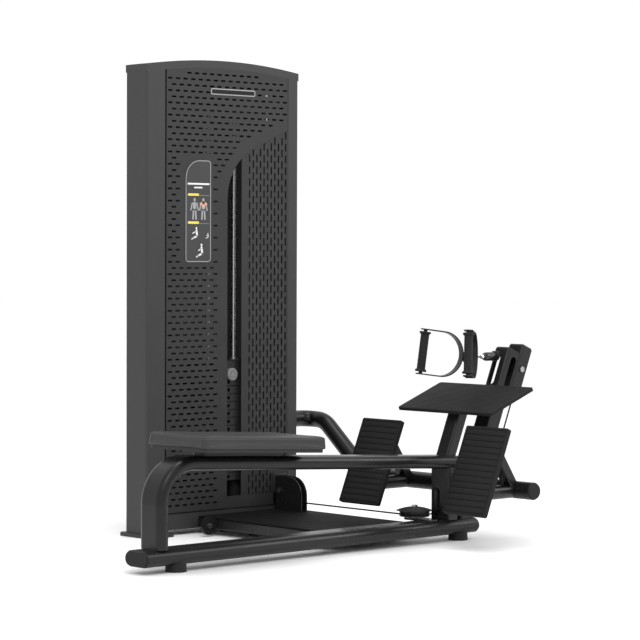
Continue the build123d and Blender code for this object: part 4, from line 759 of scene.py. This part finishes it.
def ribbed_plate(name, node, place, size, radius, rib_pitch, rib_height, border):
    """A moulded plate: a flat back, a raised border and ribs between level grooves."""
    width, length, thick = size
    top, floor = thick / 2, thick / 2 - rib_height
    bm = bmesh.new()
    add_slab(bm, place, width, length, -thick / 2, floor, radius, edge=0.0004)
    outer = rounded_outline(width, length, radius)
    inner = rounded_outline(width - 2 * border, length - 2 * border, max(radius - border, 0.002))
    rim = []
    for outline, z in ((outer, floor - SUNK), (outer, top - 0.001), (outer, top - 0.0003)):
        rim.append([place @ Vector((x, y, z)) for x, y in outline])
    shrunk = rounded_outline(width - 0.001, length - 0.001, radius - 0.0005)
    rim.append([place @ Vector((x, y, top)) for x, y in shrunk])
    for z in (top, floor - SUNK):
        rim.append([place @ Vector((x, y, z)) for x, y in inner])
    rim.append(rim[0])
    add_rings(bm, rim, close_ends=False)
    bmesh.ops.remove_doubles(bm, verts=bm.verts, dist=1e-6)
    groove = rib_height * 0.8
    field = length - 2 * border - groove
    count = int(field / rib_pitch)
    pitch = field / count
    for i in range(count):
        y = -field / 2 + pitch * (i + 0.5)
        rib = place @ Matrix.Translation((0, y, 0))
        add_slab(bm, rib, width - 2 * border - groove, pitch - groove, floor - SUNK, top,
                 min(0.0015, pitch * 0.2), edge=min(0.001, rib_height * 0.5))
    add_piece(name, bm, "frame", "plate_rubber", stands_for=[node])


def make_plates():
    """The two foot plates, square to the mast's lean, and the tray."""
    outward = Vector((-cos(MAST_LEAN), 0, sin(MAST_LEAN)))
    upward = Vector((sin(MAST_LEAN), 0, cos(MAST_LEAN)))
    for side in ("far", "near"):
        node = "foot_plate_" + side
        ribbed_plate(node + "_tread", node, leaning(node, upward, outward), FOOT_PLATE, **FOOT_RIBS)
    uphill = Vector((cos(TRAY_TILT), 0, sin(TRAY_TILT)))
    face = Vector((-sin(TRAY_TILT), 0, cos(TRAY_TILT)))
    ribbed_plate("tray_mat", "tray", leaning("tray", uphill, face), TRAY_PLATE, **TRAY_RIBS)


# ---- grips -------------------------------------------------------------------------------------
HANDLE_TILT = radians(7.5)
HANDLE_SPLAY = {"far": (1, radians(20)), "near": (-1, radians(36))}
GRIP_R, GRIP_HOLE_R, GRIP_LONG = 0.0135, 0.00603, 0.114
FLANGE_R, FLANGE_T = 0.018, 0.006
GRIP_RIBS, GRIP_SIDES = 22, 48
GRIP_END, GRIP_GROOVE, EDGE = 0.004, 0.0007, 0.001     # plain sleeve at each end, rib depth, edge break


def make_grips():
    """Rubber grips: two flanges and a ribbed sleeve on the handle's rod."""
    for side, (way, splay) in HANDLE_SPLAY.items():
        level = Vector((-cos(splay), way * sin(splay), 0))
        axis = UP * cos(HANDLE_TILT) - level * sin(HANDLE_TILT)
        along = level * cos(HANDLE_TILT) + UP * sin(HANDLE_TILT)
        over = axis.cross(along)
        node = "handle_grip_" + side
        centre = middle(node)
        half = GRIP_LONG / 2
        flange = [(half, FLANGE_R - EDGE), (half + EDGE, FLANGE_R), (half + FLANGE_T - EDGE, FLANGE_R),
                  (half + FLANGE_T, FLANGE_R - EDGE), (half + FLANGE_T, GRIP_HOLE_R)]
        profile = [(-s, r) for s, r in reversed(flange)]
        step = (GRIP_LONG - 2 * GRIP_END) / GRIP_RIBS
        for i in range(GRIP_RIBS):
            s0 = -half + GRIP_END + step * i
            for share, depth in ((0.0, GRIP_GROOVE), (0.2, 0.0001), (0.5, 0.0), (0.8, 0.0001)):
                profile.append((s0 + step * share, GRIP_R - depth))
        profile += [(half - GRIP_END, GRIP_R - GRIP_GROOVE)] + flange
        circle = [(along * cos(2 * pi * k / GRIP_SIDES), over * sin(2 * pi * k / GRIP_SIDES))
                  for k in range(GRIP_SIDES)]
        rings = [[centre + axis * s + (u + v) * r for u, v in circle] for s, r in profile]
        rings.append(rings[0])
        bm = bmesh.new()
        add_rings(bm, rings, close_ends=False)
        bmesh.ops.remove_doubles(bm, verts=bm.verts, dist=1e-6)
        add_piece(node + "_sleeve", bm, "grip_" + side, "rubber", stands_for=[node])


# ---- cables that run out -----------------------------------------------------------------------
CABLE_R = 0.0025
RUN_INTO_SWIVEL, HAIR = 0.004, 0.00005
RUN_RINGS = 40


def straight_run(name, start, end, radius, stands_for=()):
    """A straight cable between two points, baked where it lies and put on no body."""
    bm = bmesh.new()
    add_tube(bm, [start.lerp(end, i / RUN_RINGS) for i in range(RUN_RINGS + 1)], radius, sides=12)
    piece = add_piece(name, bm, None, "cable_coat", stands_for=stands_for)
    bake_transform(piece)


def make_cable_runs():
    """The lift cable over the stack, and the run that comes out of the mast behind the swivel."""
    low, high = (Vector(c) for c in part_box("lift_cable"))
    centre = (low + high) / 2
    straight_run("lift_cable_run", Vector((centre.x, centre.y, low.z)), Vector((centre.x, centre.y, high.z)),
                 CABLE_R, stands_for=["lift_cable"])
    swivel_low, swivel_high = (Vector(c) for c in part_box("swivel"))
    pulley = middle("pulley_mast_top")
    at = (swivel_low + swivel_high) / 2
    # at rest this run lies inside the frame's own cable, a hair thinner than it
    start = Vector((pulley.x, at.y, at.z))
    end = Vector((swivel_high.x - RUN_INTO_SWIVEL, at.y, at.z))
    straight_run("pull_cable_run", start, end, CABLE_R - HAIR)


# ---- floor and light ---------------------------------------------------------------------------
LAMPS = (("key", (-2.2, -2.6, 4.2), 2.5, 70), ("top", (0.8, 0.2, 4.5), 2.0, 50),
         ("side", (3.6, -2.2, 2.6), 1.2, 30))     # name, place, size and power
LAMPS_AIM = (0.6, 0.3, 0.7)
SURROUND = 1.03


def make_light(name, at, aim, size, power):
    """A soft square lamp that looks at a point."""
    data = bpy.data.lights.new(name, "AREA")
    data.shape, data.size, data.energy = "SQUARE", size, power
    lamp = bpy.data.objects.new(name, data)
    lamp.location = at
    lamp.rotation_euler = (Vector(aim) - Vector(at)).to_track_quat("-Z", "Y").to_euler()
    scene.collection.objects.link(lamp)


def make_stage():
    """A pale floor, an even white surround, and soft lamps above and beside the machine."""
    data = bpy.data.meshes.new("floor")
    bm = bmesh.new()
    bmesh.ops.create_grid(bm, x_segments=1, y_segments=1, size=30)
    bm.to_mesh(data)
    bm.free()
    floor = bpy.data.objects.new("floor", data)
    scene.collection.objects.link(floor)
    data.materials.append(make_material("floor", (0.97, 0.97, 0.97), 0.6, tone=0.01, grain=0.02))

    world = bpy.data.worlds.new("studio")
    world.use_nodes = True
    background = next(n for n in world.node_tree.nodes if n.type == "BACKGROUND")
    background.inputs["Color"].default_value = (1, 1, 1, 1)
    background.inputs["Strength"].default_value = SURROUND
    scene.world = world
    scene.view_settings.view_transform = "Standard"
    for name, at, size, power in LAMPS:
        make_light(name, at, LAMPS_AIM, size, power)


make_camera()
paint_frame()
make_front_panel()
make_window_guard()
make_signs()
make_seat_pad()
make_plates()
make_grips()
make_cable_runs()
make_stage()
